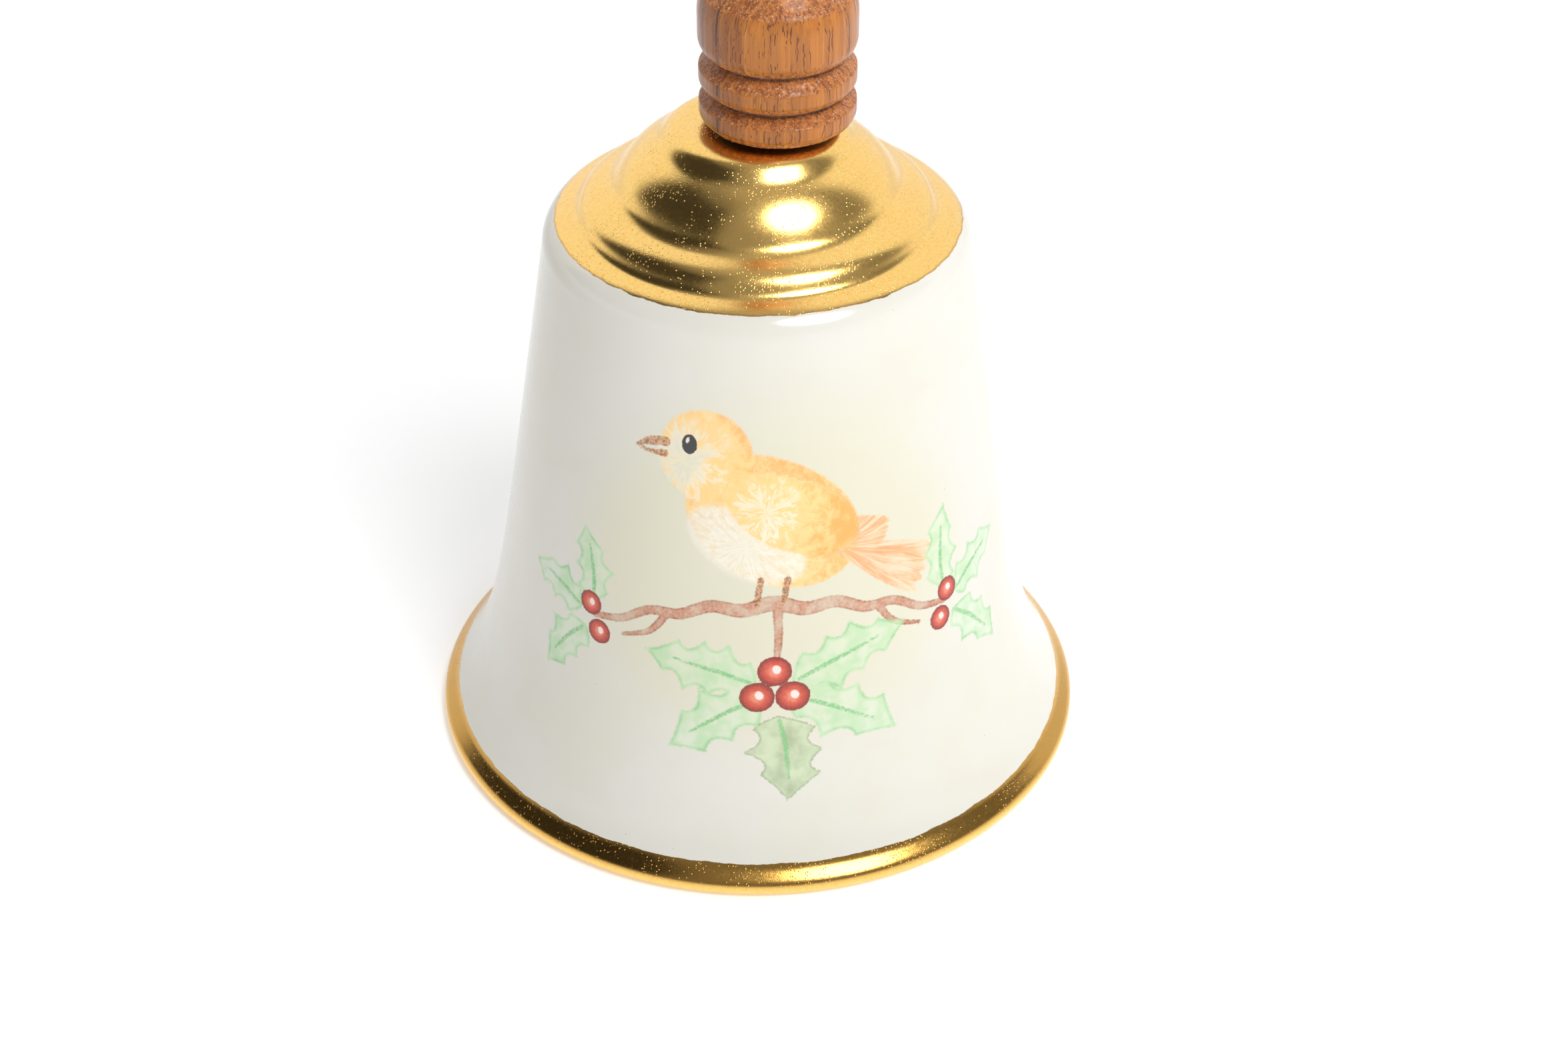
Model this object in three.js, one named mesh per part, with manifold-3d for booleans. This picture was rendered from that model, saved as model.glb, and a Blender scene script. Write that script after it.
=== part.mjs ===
// A porcelain hand bell with a gilt crown and lip, a turned oak handle, and a wooden clapper
// that hangs inside on a short brass chain.
// Millimetres, +Z up. The origin is the middle of the foot, on the surface the bell stands on.

import * as THREE from "three";
import { mergeVertices } from "three/addons/utils/BufferGeometryUtils.js";
import Module from "manifold-3d";

const wasm = await Module();
wasm.setup();

// ---- Driving dimensions -------------------------------------------------------------------

// Bell wall: a straight taper plus a flare that dies away above the lip.
const taperRadius = 40;
const taperSlope = 0.155;
const flareDepth = 7.3;
const flareHeight = 8;
const wallThickness = 3.2;

// Lip and foot.
const lipRadius = 46;
const lipRound = 1.05;
const lipRoundEnd = 45;
const footInnerRadius = 43.3;
const wallStart = 2.6;
const innerWallStart = 1;

// Crown: each place is [radius, height], and each bulge is how far a step swells between places.
const shoulder = { place: [28.3, 75.4], bulge: 0.48 };
const terrace = { place: [26.6, 78.95], bulge: 0.12 };
const lowStep = { place: [23.6, 80], bulge: 0.98 };
const middleStep = { place: [19.1, 83.15], bulge: 0.82 };
const topStep = { place: [12.6, 90.1], bulge: 0.66 };
const crownFlatRadius = 8.8;
const crownHeight = 92.3;
const crownHoleRadius = 4.6;

// Underside of the crown.
const ceilingHeight = 88.2;
const ceilingFlatRadius = 11.6;
const innerStep = [16.8, 81.2];
const innerShoulder = [22.4, 77.6];
const innerBulge = 0.4;
const innerWallTop = 73;

// Handle. It sits a little to one side of the bell's own axis, with all that it holds.
const handleOffset = 2.7;
const handleBase = 93;
const ringFeet = [handleBase, 97.6];
const ringFootRadius = 9.2;
const ringRadius = 10.1;
const ringChamfer = 1.2;
const ringFace = 1.7;
const edgeBulge = 0.15;
const grooveRadius = 8.3;
const grooveDrop = 0.55;
const barrelFoot = { radius: 9.4, height: 102.7 };
const barrelMiddle = { radius: 10.15, from: 104.4, to: 107.2 };
const barrelTop = { radius: 9.65, height: 110.6 };
const coveStart = { radius: 9, height: 111.1 };
const coveDepth = 0.8;
const neckRadius = 6.2;
const neckHeight = 117.6;
const beadHeight = 3;
const beadBulge = 1.5;
const gripEnd = 173;
const gripMiddle = { radius: 9.5, height: 143.8 };
const gripLower = { radius: 8.3, height: 129.6 };
const gripUpper = { radius: 8.5, height: 159.8 };
const knobCentre = 187.6;
const knobRadius = 8.9;
const knobStart = -48;
const pilotRadius = 1.85;
const pilotDepth = 22;

// Washers between the porcelain and the metal and wood.
const seatGap = 0.1;
const leatherWasher = { inner: 2.2, outer: 6, thick: 0.5 };
const feltWasher = { inner: 2.2, outer: 8.6, thick: 1.3 };
const clampWasher = { inner: 1.9, outer: 8.2, thick: 1 };

// Screw eye.
const screwCore = 1.1;
const screwCrest = 1.5;
const threadPitch = 1.7;
const threadTurns = 9;
const screwTip = 3;
const plainShank = 1;
const eyeRadius = 3.4;
const eyeWire = 1.1;

// Chain and clapper.
const linkCount = 3;
const linkRadius = 2.8;
const linkWire = 0.6;
const linkStraight = 6.6;
const hangGap = 0.2;
const clapperEyeRadius = 2.6;
const clapperEyeWire = 0.8;
const clapperPinRadius = 0.9;
const ballCentre = 28;
const ballRadius = 8.5;
const ballBore = 1.25;
const ballFlat = 2.6;
const endWasher = { inner: 1.2, outer: 2.4, thick: 0.6 };
const pinHeadRadius = 1.7;
const pinHeadHeight = 0.9;
const pinHeadEdge = 0.6;

// Roundness of the meshes: sides around, and steps along each curve of an outline.
const shellSides = 48;
const handleSides = 36;
const washerSides = 28;
const wireSides = 8;
const ringSides = 24;
const fewSteps = 2;
const lipSteps = 6;
const curveSteps = 5;
const longSteps = 10;

// ---- Materials ----------------------------------------------------------------------------

const finish = (color, roughness, metalness) =>
  new THREE.MeshStandardMaterial({ color, roughness, metalness });

const porcelain = finish("#f3f1e6", 0.12, 0);
const oak = finish("#a5662f", 0.55, 0);
const leather = finish("#5c3a24", 0.85, 0);
const felt = finish("#d9d2c0", 0.95, 0);
const steel = finish("#b4b6b8", 0.35, 1);
const brass = finish("#c9a04e", 0.3, 1);
const beech = finish("#c9a070", 0.5, 0);

// ---- Outline helpers ----------------------------------------------------------------------

const point = (radius, height) => new THREE.Vector2(radius, height);

// Points of a shallow curve between two places, both included, swelling away from the axis.
function bulged(from, to, bulge, steps) {
  const start = point(...from);
  const run = point(...to).sub(start);
  const outward = point(run.y, -run.x).normalize();
  if (outward.x < 0) outward.negate();
  return Array.from({ length: steps + 1 }, (_, index) => {
    const along = index / steps;
    const swell = 4 * bulge * along * (1 - along);
    return start.clone().addScaledVector(run, along).addScaledVector(outward, swell);
  });
}

// Points of a circular arc about a centre, with its angles in degrees above the horizontal.
function arc(centreRadius, centreHeight, radius, fromAngle, toAngle, steps) {
  return Array.from({ length: steps + 1 }, (_, index) => {
    const angle = THREE.MathUtils.degToRad(fromAngle + ((toAngle - fromAngle) * index) / steps);
    return point(centreRadius + radius * Math.cos(angle), centreHeight + radius * Math.sin(angle));
  });
}

// Points of any outline given as a radius at each height.
function sampled(radiusAt, fromHeight, toHeight, steps) {
  return Array.from({ length: steps + 1 }, (_, index) => {
    const height = fromHeight + ((toHeight - fromHeight) * index) / steps;
    return point(radiusAt(height), height);
  });
}

// Leaves out a point that repeats the one before it.
function withoutRepeats(points) {
  return points.filter((p, index) => index === 0 || p.distanceTo(points[index - 1]) > 1e-4);
}

// A solid turned about the Z axis from an outline that runs up its outside.
function turned(outline, sides) {
  const geometry = new THREE.LatheGeometry(withoutRepeats(outline), sides);
  return geometry.rotateX(Math.PI / 2);
}

// ---- Boolean helpers ----------------------------------------------------------------------

function toManifold(geometry) {
  const bare = geometry.clone();
  bare.deleteAttribute("normal");
  bare.deleteAttribute("uv");
  const merged = mergeVertices(bare, 1e-4);
  const vertProperties = Float32Array.from(merged.attributes.position.array);
  const triVerts = Uint32Array.from(merged.index.array);
  return new wasm.Manifold(new wasm.Mesh({ numProp: 3, vertProperties, triVerts }));
}

function joined(...geometries) {
  const solid = geometries.map(toManifold).reduce((whole, piece) => whole.add(piece));
  const mesh = solid.getMesh();
  const geometry = new THREE.BufferGeometry();
  geometry.setAttribute("position", new THREE.BufferAttribute(mesh.vertProperties, 3));
  geometry.setIndex(new THREE.BufferAttribute(mesh.triVerts, 1));
  geometry.computeVertexNormals();
  return geometry;
}

// ---- Bell ---------------------------------------------------------------------------------

const wallRadius = (height) =>
  taperRadius - taperSlope * height + flareDepth * Math.exp(-height / flareHeight);

const innerRadius = (height) => wallRadius(height) - wallThickness;

function bellShell() {
  const lipCentre = lipRadius - lipRound;
  const outline = [
    point(footInnerRadius, 0),
    ...arc(lipCentre, lipRound, lipRound, -90, lipRoundEnd, lipSteps),
    ...sampled(wallRadius, wallStart, shoulder.place[1], longSteps),
    ...bulged(shoulder.place, terrace.place, shoulder.bulge, curveSteps),
    ...bulged(terrace.place, lowStep.place, terrace.bulge, fewSteps),
    ...bulged(lowStep.place, middleStep.place, lowStep.bulge, curveSteps),
    ...bulged(middleStep.place, topStep.place, middleStep.bulge, curveSteps),
    ...bulged(topStep.place, [crownFlatRadius, crownHeight], topStep.bulge, curveSteps),
    point(crownHoleRadius, crownHeight),
    point(crownHoleRadius, ceilingHeight),
    ...bulged([ceilingFlatRadius, ceilingHeight], innerStep, innerBulge, fewSteps),
    ...bulged(innerStep, innerShoulder, innerBulge, fewSteps),
    ...bulged(innerShoulder, [innerRadius(innerWallTop), innerWallTop], innerBulge, fewSteps),
    ...sampled(innerRadius, innerWallTop, innerWallStart, longSteps),
    point(footInnerRadius, 0),
  ];
  return turned(outline, shellSides);
}

// ---- Handle -------------------------------------------------------------------------------

function turnedRing(foot) {
  const faceStart = foot + ringChamfer;
  return [
    ...bulged([ringFootRadius, foot], [ringRadius, faceStart], edgeBulge, fewSteps),
    point(ringRadius, faceStart + ringFace),
  ];
}

function bead(foot, radius) {
  return bulged([radius, foot], [radius, foot + beadHeight], beadBulge, curveSteps);
}

function grip() {
  const curve = new THREE.SplineCurve([
    point(neckRadius, neckHeight + beadHeight),
    point(gripLower.radius, gripLower.height),
    point(gripMiddle.radius, gripMiddle.height),
    point(gripUpper.radius, gripUpper.height),
    point(neckRadius, gripEnd),
  ]);
  return curve.getPoints(longSteps);
}

function barrel() {
  const { radius, from, to } = barrelMiddle;
  const start = [coveStart.radius, coveStart.height];
  return [
    ...bulged([barrelFoot.radius, barrelFoot.height], [radius, from], edgeBulge, fewSteps),
    ...bulged([radius, to], [barrelTop.radius, barrelTop.height], edgeBulge, fewSteps),
    ...bulged(start, [neckRadius, neckHeight], -coveDepth, curveSteps),
  ];
}

function handle() {
  const pilotTop = handleBase + pilotDepth;
  const outline = [
    point(0, pilotTop + pilotRadius),
    point(pilotRadius, pilotTop),
    point(pilotRadius, handleBase),
    ...turnedRing(ringFeet[0]),
    point(grooveRadius, ringFeet[1] - grooveDrop),
    ...turnedRing(ringFeet[1]),
    point(grooveRadius, barrelFoot.height - grooveDrop),
    ...barrel(),
    ...bead(neckHeight, neckRadius),
    ...grip(),
    ...bead(gripEnd, neckRadius),
    ...arc(0, knobCentre, knobRadius, knobStart, 90, longSteps),
  ];
  outline[outline.length - 1].x = 0;
  return turned(outline, handleSides);
}

// ---- Washers ------------------------------------------------------------------------------

function washer({ inner, outer, thick }) {
  const outline = [
    point(inner, 0),
    point(outer, 0),
    point(outer, thick),
    point(inner, thick),
    point(inner, 0),
  ];
  return turned(outline, washerSides);
}

// ---- Screw eye, chain and clapper ---------------------------------------------------------

// A wire ring that stands upright in the XZ plane, centred on the origin.
function wireRing(radius, wire) {
  return new THREE.TorusGeometry(radius, wire, wireSides, ringSides).rotateX(Math.PI / 2);
}

// A wood screw's shank from z = 0 up to its tip, with ridges in place of the thread's turns.
function screwShank(plainLength) {
  const ridges = Array.from({ length: threadTurns }, (_, turn) => {
    const foot = plainLength + turn * threadPitch;
    return [
      point(screwCore, foot),
      point(screwCrest, foot + threadPitch / 2),
    ];
  }).flat();
  const threadEnd = plainLength + threadTurns * threadPitch;
  const outline = [
    point(0, -eyeWire),
    point(screwCrest, -eyeWire),
    point(screwCrest, plainLength - threadPitch / 2),
    ...ridges,
    point(screwCore, threadEnd),
    point(0, threadEnd + screwTip),
  ];
  return turned(outline, wireSides * 2);
}

// Screw eye with the middle of its ring at z = 0.
function screwEye() {
  const shank = screwShank(handleBase - washerFoot + plainShank).translate(0, 0, eyeRadius + eyeWire);
  return joined(wireRing(eyeRadius, eyeWire), shank);
}

// A ring pulled out into an oval, with straight sides between two half-round bends.
function chainLink() {
  const geometry = new THREE.TorusGeometry(linkRadius, linkWire, wireSides, ringSides);
  geometry.rotateZ(Math.PI / ringSides).rotateX(Math.PI / 2);
  const position = geometry.attributes.position;
  for (let index = 0; index < position.count; index += 1) {
    const ring = index % (ringSides + 1);
    const angle = ((ring + 0.5) * 2 * Math.PI) / ringSides;
    const stretch = (Math.sign(Math.sin(angle)) * linkStraight) / 2;
    position.setZ(index, position.getZ(index) + stretch);
  }
  geometry.computeVertexNormals();
  return geometry;
}

// Pin with an eye on top, the middle of the eye at z = 0, and a head riveted under the ball.
function clapperPin(eyeHeight) {
  const headTop = ballCentre - ballFoot() - 2 * seatGap - endWasher.thick - eyeHeight;
  const outline = [
    point(0, headTop - pinHeadHeight),
    point(pinHeadRadius * pinHeadEdge, headTop - pinHeadHeight),
    point(pinHeadRadius, headTop - pinHeadHeight * (1 - pinHeadEdge)),
    point(pinHeadRadius, headTop),
    point(clapperPinRadius, headTop),
    point(clapperPinRadius, -clapperEyeRadius),
    point(0, -clapperEyeRadius),
  ];
  return joined(wireRing(clapperEyeRadius, clapperEyeWire), turned(outline, wireSides * 2));
}

// Distance from the ball's middle to the small flats where the pin goes through.
function ballFoot() {
  return Math.sqrt(ballRadius ** 2 - ballFlat ** 2);
}

function clapperBall() {
  const flatAngle = THREE.MathUtils.radToDeg(Math.acos(ballFlat / ballRadius));
  const outline = [
    point(ballBore, -ballFoot()),
    ...arc(0, 0, ballRadius, -flatAngle, flatAngle, longSteps),
    point(ballBore, ballFoot()),
    point(ballBore, -ballFoot()),
  ];
  return turned(outline, ringSides);
}

// ---- Heights of the hanging pieces --------------------------------------------------------

const feltFoot = ceilingHeight - seatGap - feltWasher.thick;
const washerFoot = feltFoot - seatGap - clampWasher.thick;
const eyeCentre = washerFoot - seatGap - eyeRadius - eyeWire;
const linkLength = 2 * linkRadius + linkStraight;

// Height of a link's or eye's top wire, hung on a wire below it.
const hungOn = (wireHeight, wire, ownWire) => wireHeight + wire + ownWire + hangGap;

const linkCentres = [];
let lowestWire = { height: eyeCentre - eyeRadius, wire: eyeWire };
for (let index = 0; index < linkCount; index += 1) {
  const top = hungOn(lowestWire.height, lowestWire.wire, linkWire);
  linkCentres.push(top - linkLength / 2);
  lowestWire = { height: top - linkLength, wire: linkWire };
}
const clapperEyeCentre =
  hungOn(lowestWire.height, lowestWire.wire, clapperEyeWire) - clapperEyeRadius;

// ---- Assembly -----------------------------------------------------------------------------

const group = new THREE.Group();

function place(name, geometry, material, parent, height = 0) {
  const mesh = new THREE.Mesh(geometry, material);
  mesh.name = name;
  mesh.position.z = height;
  parent.add(mesh);
  return mesh;
}

place("bell_shell", bellShell(), porcelain, group);

// Everything on the handle's axis.
const spindle = new THREE.Group();
spindle.position.x = handleOffset;
group.add(spindle);

place("handle", handle(), oak, spindle);
place("leather_washer", washer(leatherWasher), leather, spindle, crownHeight + seatGap);
place("felt_washer", washer(feltWasher), felt, spindle, feltFoot);
place("clamp_washer", washer(clampWasher), steel, spindle, washerFoot);
place("screw_eye", screwEye(), brass, spindle, eyeCentre);

linkCentres.forEach((height, index) => {
  const link = place(`chain_link_${index + 1}`, chainLink(), brass, spindle, height);
  link.rotation.z = index % 2 === 0 ? Math.PI / 2 : 0;
});

place("clapper_pin", clapperPin(clapperEyeCentre), brass, spindle, clapperEyeCentre);
place("clapper_ball", clapperBall(), beech, spindle, ballCentre);
const endWasherFoot = ballCentre - ballFoot() - seatGap - endWasher.thick;
place("clapper_washer", washer(endWasher), brass, spindle, endWasherFoot);

export default group;
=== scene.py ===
"""Looks of a porcelain hand bell: a glazed and gilt shell with a small bird and holly painted on
it, a turned oak handle, and the screw eye, chain and clapper that hang inside.

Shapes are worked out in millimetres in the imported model's frame and become metres in mesh_piece.
"""

import math

import bpy
import numpy as np
from mathutils import Matrix, Vector


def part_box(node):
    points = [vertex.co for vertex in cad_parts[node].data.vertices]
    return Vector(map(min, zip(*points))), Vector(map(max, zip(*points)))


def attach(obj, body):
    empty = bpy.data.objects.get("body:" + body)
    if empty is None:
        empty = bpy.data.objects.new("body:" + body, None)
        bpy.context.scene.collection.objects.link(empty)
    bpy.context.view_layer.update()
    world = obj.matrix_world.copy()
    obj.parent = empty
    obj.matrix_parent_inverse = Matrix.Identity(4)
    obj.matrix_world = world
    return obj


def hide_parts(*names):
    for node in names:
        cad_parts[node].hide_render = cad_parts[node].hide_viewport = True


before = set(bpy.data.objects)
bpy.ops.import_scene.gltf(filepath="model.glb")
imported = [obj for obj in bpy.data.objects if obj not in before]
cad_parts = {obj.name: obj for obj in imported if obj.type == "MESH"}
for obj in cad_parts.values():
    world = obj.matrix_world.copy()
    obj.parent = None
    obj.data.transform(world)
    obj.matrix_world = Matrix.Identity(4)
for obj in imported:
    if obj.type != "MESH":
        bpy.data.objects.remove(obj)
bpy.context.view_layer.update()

MM = 0.001


def box_mm(node):
    """Lowest and highest corner of a CAD node, in millimetres."""
    return tuple(np.array(corner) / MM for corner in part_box(node))


shell_high = box_mm("bell_shell")[1]
handle_low, handle_high = box_mm("handle")
spindle_x = (handle_low[0] + handle_high[0]) / 2

# ---- Outlines -----------------------------------------------------------------------------

FINE_STEP = 0.05


def bulged(start, end, bulge, steps=16):
    """A shallow curve between two places, swelling away from the axis by bulge."""
    start, end = np.array(start, float), np.array(end, float)
    along = np.linspace(0, 1, steps + 1)[:, None]
    run = end - start
    outward = np.array([run[1], -run[0]]) / np.linalg.norm(run)
    outward *= 1 if outward[0] >= 0 else -1
    return start + along * run + 4 * bulge * along * (1 - along) * outward


def arc(centre, radius, from_angle, to_angle, steps=24):
    """A circular arc about a centre, with its angles in degrees above the horizontal."""
    angle = np.radians(np.linspace(from_angle, to_angle, steps + 1))
    return np.column_stack([centre[0] + radius * np.cos(angle), centre[1] + radius * np.sin(angle)])


def sampled(radius_at, low, high, steps=80):
    """The points of an outline that is given as a radius at each height."""
    heights = np.linspace(low, high, steps + 1)
    return np.column_stack([radius_at(heights), heights])


def spline(points, steps):
    """A smooth curve through a few points."""
    points = np.array(points, float)
    padded = np.vstack([2 * points[0] - points[1], points, 2 * points[-1] - points[-2]])
    t = np.linspace(0, 1, steps, endpoint=False)[:, None]
    pieces = []
    for index in range(len(points) - 1):
        a, b, c, d = padded[index : index + 4]
        bend = (2 * a - 5 * b + 4 * c - d) * t + (3 * b - a - 3 * c + d) * t * t
        pieces.append(0.5 * (2 * b + (c - a) * t + bend * t))
    return np.vstack(pieces + [points[-1:]])


def evenly(points, spacing, closed):
    """Points at even distances along an outline."""
    line = np.vstack([points, points[:1]]) if closed else np.array(points)
    along = np.concatenate([[0], np.cumsum(np.linalg.norm(np.diff(line, axis=0), axis=1))])
    count = max(2, round(along[-1] / spacing))
    places = np.linspace(0, along[-1], count + 1)
    even = np.column_stack([np.interp(places, along, line[:, axis]) for axis in range(line.shape[1])])
    return even[:-1] if closed else even


def softened(points, softness, closed):
    """The outline with its corners eased, as glaze or sanding eases them, at FINE_STEP spacing."""
    fine = evenly(points, FINE_STEP, closed)
    reach = int(4 * softness / FINE_STEP)
    weights = np.exp(-0.5 * (np.arange(-reach, reach + 1) * FINE_STEP / softness) ** 2)
    weights /= weights.sum()
    if closed:
        padded = np.vstack([fine[-reach:], fine, fine[:reach]])
    else:
        before = 2 * fine[0] - fine[reach:0:-1]
        after = 2 * fine[-1] - fine[-2 : -reach - 2 : -1]
        padded = np.vstack([before, fine, after])
    return np.column_stack([np.convolve(padded[:, axis], weights, "valid") for axis in (0, 1)])


def thinned(fine, spacing, closed):
    """Keeps points of a fine outline so that neighbours lie about spacing apart at each place."""
    share = np.concatenate([[0], np.cumsum(FINE_STEP / spacing)])[:-1]
    count = max(4, round(share[-1]))
    wanted = np.linspace(0, share[-1], count + 1)
    picked = np.column_stack([np.interp(wanted, share, fine[:, axis]) for axis in (0, 1)])
    return picked[:-1] if closed else picked


# ---- Meshes -------------------------------------------------------------------------------


def mesh_piece(name, vertices, faces, body, node, material):
    """A smooth mesh piece, given in millimetres, that rides on a body in place of a CAD node."""
    mesh = bpy.data.meshes.new(name)
    mesh.from_pydata((np.array(vertices) * MM).tolist(), [], faces)
    mesh.validate()
    mesh.polygons.foreach_set("use_smooth", np.ones(len(mesh.polygons), bool))
    mesh.materials.append(material)
    piece = bpy.data.objects.new(name, mesh)
    bpy.context.scene.collection.objects.link(piece)
    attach(piece, body)
    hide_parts(node)
    return piece


def add_values(piece, name, values):
    """Stores one number for each vertex, for the material to read."""
    attribute = piece.data.attributes.new(name, "FLOAT", "POINT")
    attribute.data.foreach_set("value", np.asarray(values, np.float32))


def add_vectors(piece, name, vectors):
    """Stores one vector for each vertex, for the material to read."""
    attribute = piece.data.attributes.new(name, "FLOAT_VECTOR", "POINT")
    attribute.data.foreach_set("vector", np.asarray(vectors, np.float32).ravel())


def ring_faces(first_a, first_b, count):
    """Faces between two rings that have the same number of vertices."""
    faces = []
    for column in range(count):
        following = (column + 1) % count
        faces.append((first_a + column, first_a + following, first_b + following, first_b + column))
    return faces


def bridge_faces(first_coarse, first_fine, shared, fine_count, coarse_is_first):
    """Faces between a coarse ring and a fine one, where shared lists the fine ring's columns that
    line up with the coarse ring's."""
    faces = []
    count = len(shared)
    for column in range(count):
        following = (column + 1) % count
        stop = shared[following] if following else fine_count
        fine = [first_fine + index % fine_count for index in range(shared[column], stop + 1)]
        coarse = [first_coarse + column, first_coarse + following]
        if coarse_is_first:
            faces.append(tuple(coarse + fine[::-1]))
        else:
            faces.append(tuple(fine + coarse[::-1]))
    return faces


def turned(outline, columns, centre_x, closed=True, shape=None):
    """Vertices and faces of an outline of [radius, height] turned about an upright axis. An open
    outline begins and ends on the axis. shape may move the vertices before they are placed."""
    angles = np.radians(np.arange(columns) * 360 / columns)
    rings = outline if closed else outline[1:-1]
    radius, angle = np.meshgrid(rings[:, 0], angles, indexing="ij")
    height = np.repeat(rings[:, 1][:, None], columns, axis=1)
    if shape:
        radius, height = shape(radius, angle, height)
    x, y = radius * np.sin(angle) + centre_x, -radius * np.cos(angle)
    vertices = np.column_stack([x.ravel(), y.ravel(), height.ravel()])
    count = len(rings)
    faces = []
    for ring in range(count if closed else count - 1):
        following = (ring + 1) % count
        faces += ring_faces(ring * columns, following * columns, columns)
    if not closed:
        first, last = len(vertices), len(vertices) + 1
        poles = [[centre_x, 0, outline[0, 1]], [centre_x, 0, outline[-1, 1]]]
        vertices = np.vstack([vertices, poles])
        top = (count - 1) * columns
        for column in range(columns):
            following = (column + 1) % columns
            faces.append((column, first, following))
            faces.append((top + following, last, top + column))
    return vertices, faces


def swept(path, radius, sides, upright, closed):
    """Vertices and faces of a wire along a path that lies in the plane at right angles to upright.
    radius is one number for each point of the path, or one for each point and side."""
    path = np.array(path, float)
    ahead, behind = np.roll(path, -1, axis=0), np.roll(path, 1, axis=0)
    if not closed:
        ahead[-1], behind[0] = path[-1], path[0]
    tangent = ahead - behind
    tangent /= np.linalg.norm(tangent, axis=1)[:, None]
    upright = np.array(upright, float)
    sideways = np.cross(upright, tangent)
    turn = np.radians(np.arange(sides) * 360 / sides)
    radius = np.array(radius, float)
    radius = radius if radius.ndim == 2 else np.repeat(radius[:, None], sides, axis=1)
    across = (radius * np.cos(turn))[:, :, None] * sideways[:, None, :]
    along = (radius * np.sin(turn))[:, :, None] * upright
    vertices = (path[:, None, :] + across + along).reshape(-1, 3)
    count = len(path)
    faces = []
    for ring in range(count if closed else count - 1):
        following = (ring + 1) % count
        faces += ring_faces(ring * sides, following * sides, sides)
    if not closed:
        faces.append(tuple(range(sides))[::-1])
        faces.append(tuple(range((count - 1) * sides, count * sides)))
    return vertices, faces


# ---- Materials ----------------------------------------------------------------------------


def rgb(red, green, blue):
    """A colour given as 0 to 255 display values, as the linear values that shaders take."""
    linear = [((value / 255 + 0.055) / 1.055) ** 2.4 for value in (red, green, blue)]
    return (*linear, 1.0)


class Nodes:
    """A node tree under construction. Its methods add nodes and return their outputs."""

    def __init__(self, tree):
        self.tree = tree

    def feed(self, socket, value):
        if isinstance(value, bpy.types.NodeSocket):
            self.tree.links.new(value, socket)
        else:
            socket.default_value = value

    def add(self, kind, inputs, **settings):
        node = self.tree.nodes.new("ShaderNode" + kind)
        for key, value in settings.items():
            setattr(node, key, value)
        for key, value in inputs.items():
            self.feed(node.inputs[key], value)
        return node

    def separate(self, vector):
        return self.add("SeparateXYZ", {0: vector}).outputs

    def combine(self, x, y, z):
        return self.add("CombineXYZ", {0: x, 1: y, 2: z}).outputs[0]

    def math(self, operation, a, b=0.0):
        return self.add("Math", {0: a, 1: b}, operation=operation).outputs[0]

    def times(self, a, b):
        return self.math("MULTIPLY", a, b)

    def plus(self, a, b):
        return self.math("ADD", a, b)

    def minus(self, a, b):
        return self.math("SUBTRACT", a, b)

    def step(self, value, low, high, to_low=0.0, to_high=1.0):
        """Rises smoothly from to_low to to_high as value goes from low to high."""
        inputs = {"Value": value, "From Min": low, "From Max": high}
        inputs |= {"To Min": to_low, "To Max": to_high}
        return self.add("MapRange", inputs, interpolation_type="SMOOTHSTEP").outputs[0]

    def blend(self, factor, a, b):
        """A number between a and b."""
        return self.add("Mix", {0: factor, 2: a, 3: b}).outputs[0]

    def mix(self, factor, a, b):
        """A colour between a and b."""
        return self.add("Mix", {0: factor, 6: a, 7: b}, data_type="RGBA").outputs[2]


class Finish(Nodes):
    """A material under construction, with places in millimetres."""

    def __init__(self, name):
        self.material = bpy.data.materials.new(name)
        self.material.use_nodes = True
        super().__init__(self.material.node_tree)
        self.shader = self.tree.nodes["Principled BSDF"]
        coordinates = self.tree.nodes.new("ShaderNodeTexCoord").outputs["Object"]
        self.place = self.scaled(coordinates, (1 / MM, 1 / MM, 1 / MM))

    def surface(self, **sockets):
        for key, value in sockets.items():
            self.feed(self.shader.inputs[key.replace("_", " ").title()], value)
        return self.material

    def scaled(self, vector, factors):
        return self.add("VectorMath", {0: vector, 1: factors}, operation="MULTIPLY").outputs[0]

    def shifted(self, vector, offset):
        return self.add("VectorMath", {0: vector, 1: offset}, operation="ADD").outputs[0]

    def length(self, vector):
        return self.add("VectorMath", {0: vector}, operation="LENGTH").outputs["Value"]

    def value(self, name):
        return self.add("Attribute", {}, attribute_name=name).outputs["Fac"]

    def vector(self, name):
        return self.add("Attribute", {}, attribute_name=name).outputs["Vector"]

    def noise(self, where, scale, detail=2.0, roughness=0.5, distortion=0.0):
        inputs = {"Vector": where, "Scale": scale, "Detail": detail}
        inputs |= {"Roughness": roughness, "Distortion": distortion}
        return self.add("TexNoise", inputs).outputs[0]

    def grain(self, where, stretch, detail, roughness=0.5, distortion=0.0):
        """Noise stretched by a factor along each axis."""
        return self.noise(self.scaled(where, stretch), 1.0, detail, roughness, distortion)

    def cells(self, where, scale):
        """Distance to the nearest cell's middle, and the cell's own colour."""
        return self.add("TexVoronoi", {"Vector": where, "Scale": scale}).outputs

    def relief(self, *layers):
        """Heights added together, each given with how many millimetres it stands at 1."""
        total = self.times(*layers[0])
        for layer in layers[1:]:
            total = self.plus(total, self.times(*layer))
        return total

    def bump(self, height):
        """A normal from a height in millimetres."""
        return self.add("Bump", {"Height": height, "Distance": MM}).outputs[0]


# ---- Bell shell: shape --------------------------------------------------------------------

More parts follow.
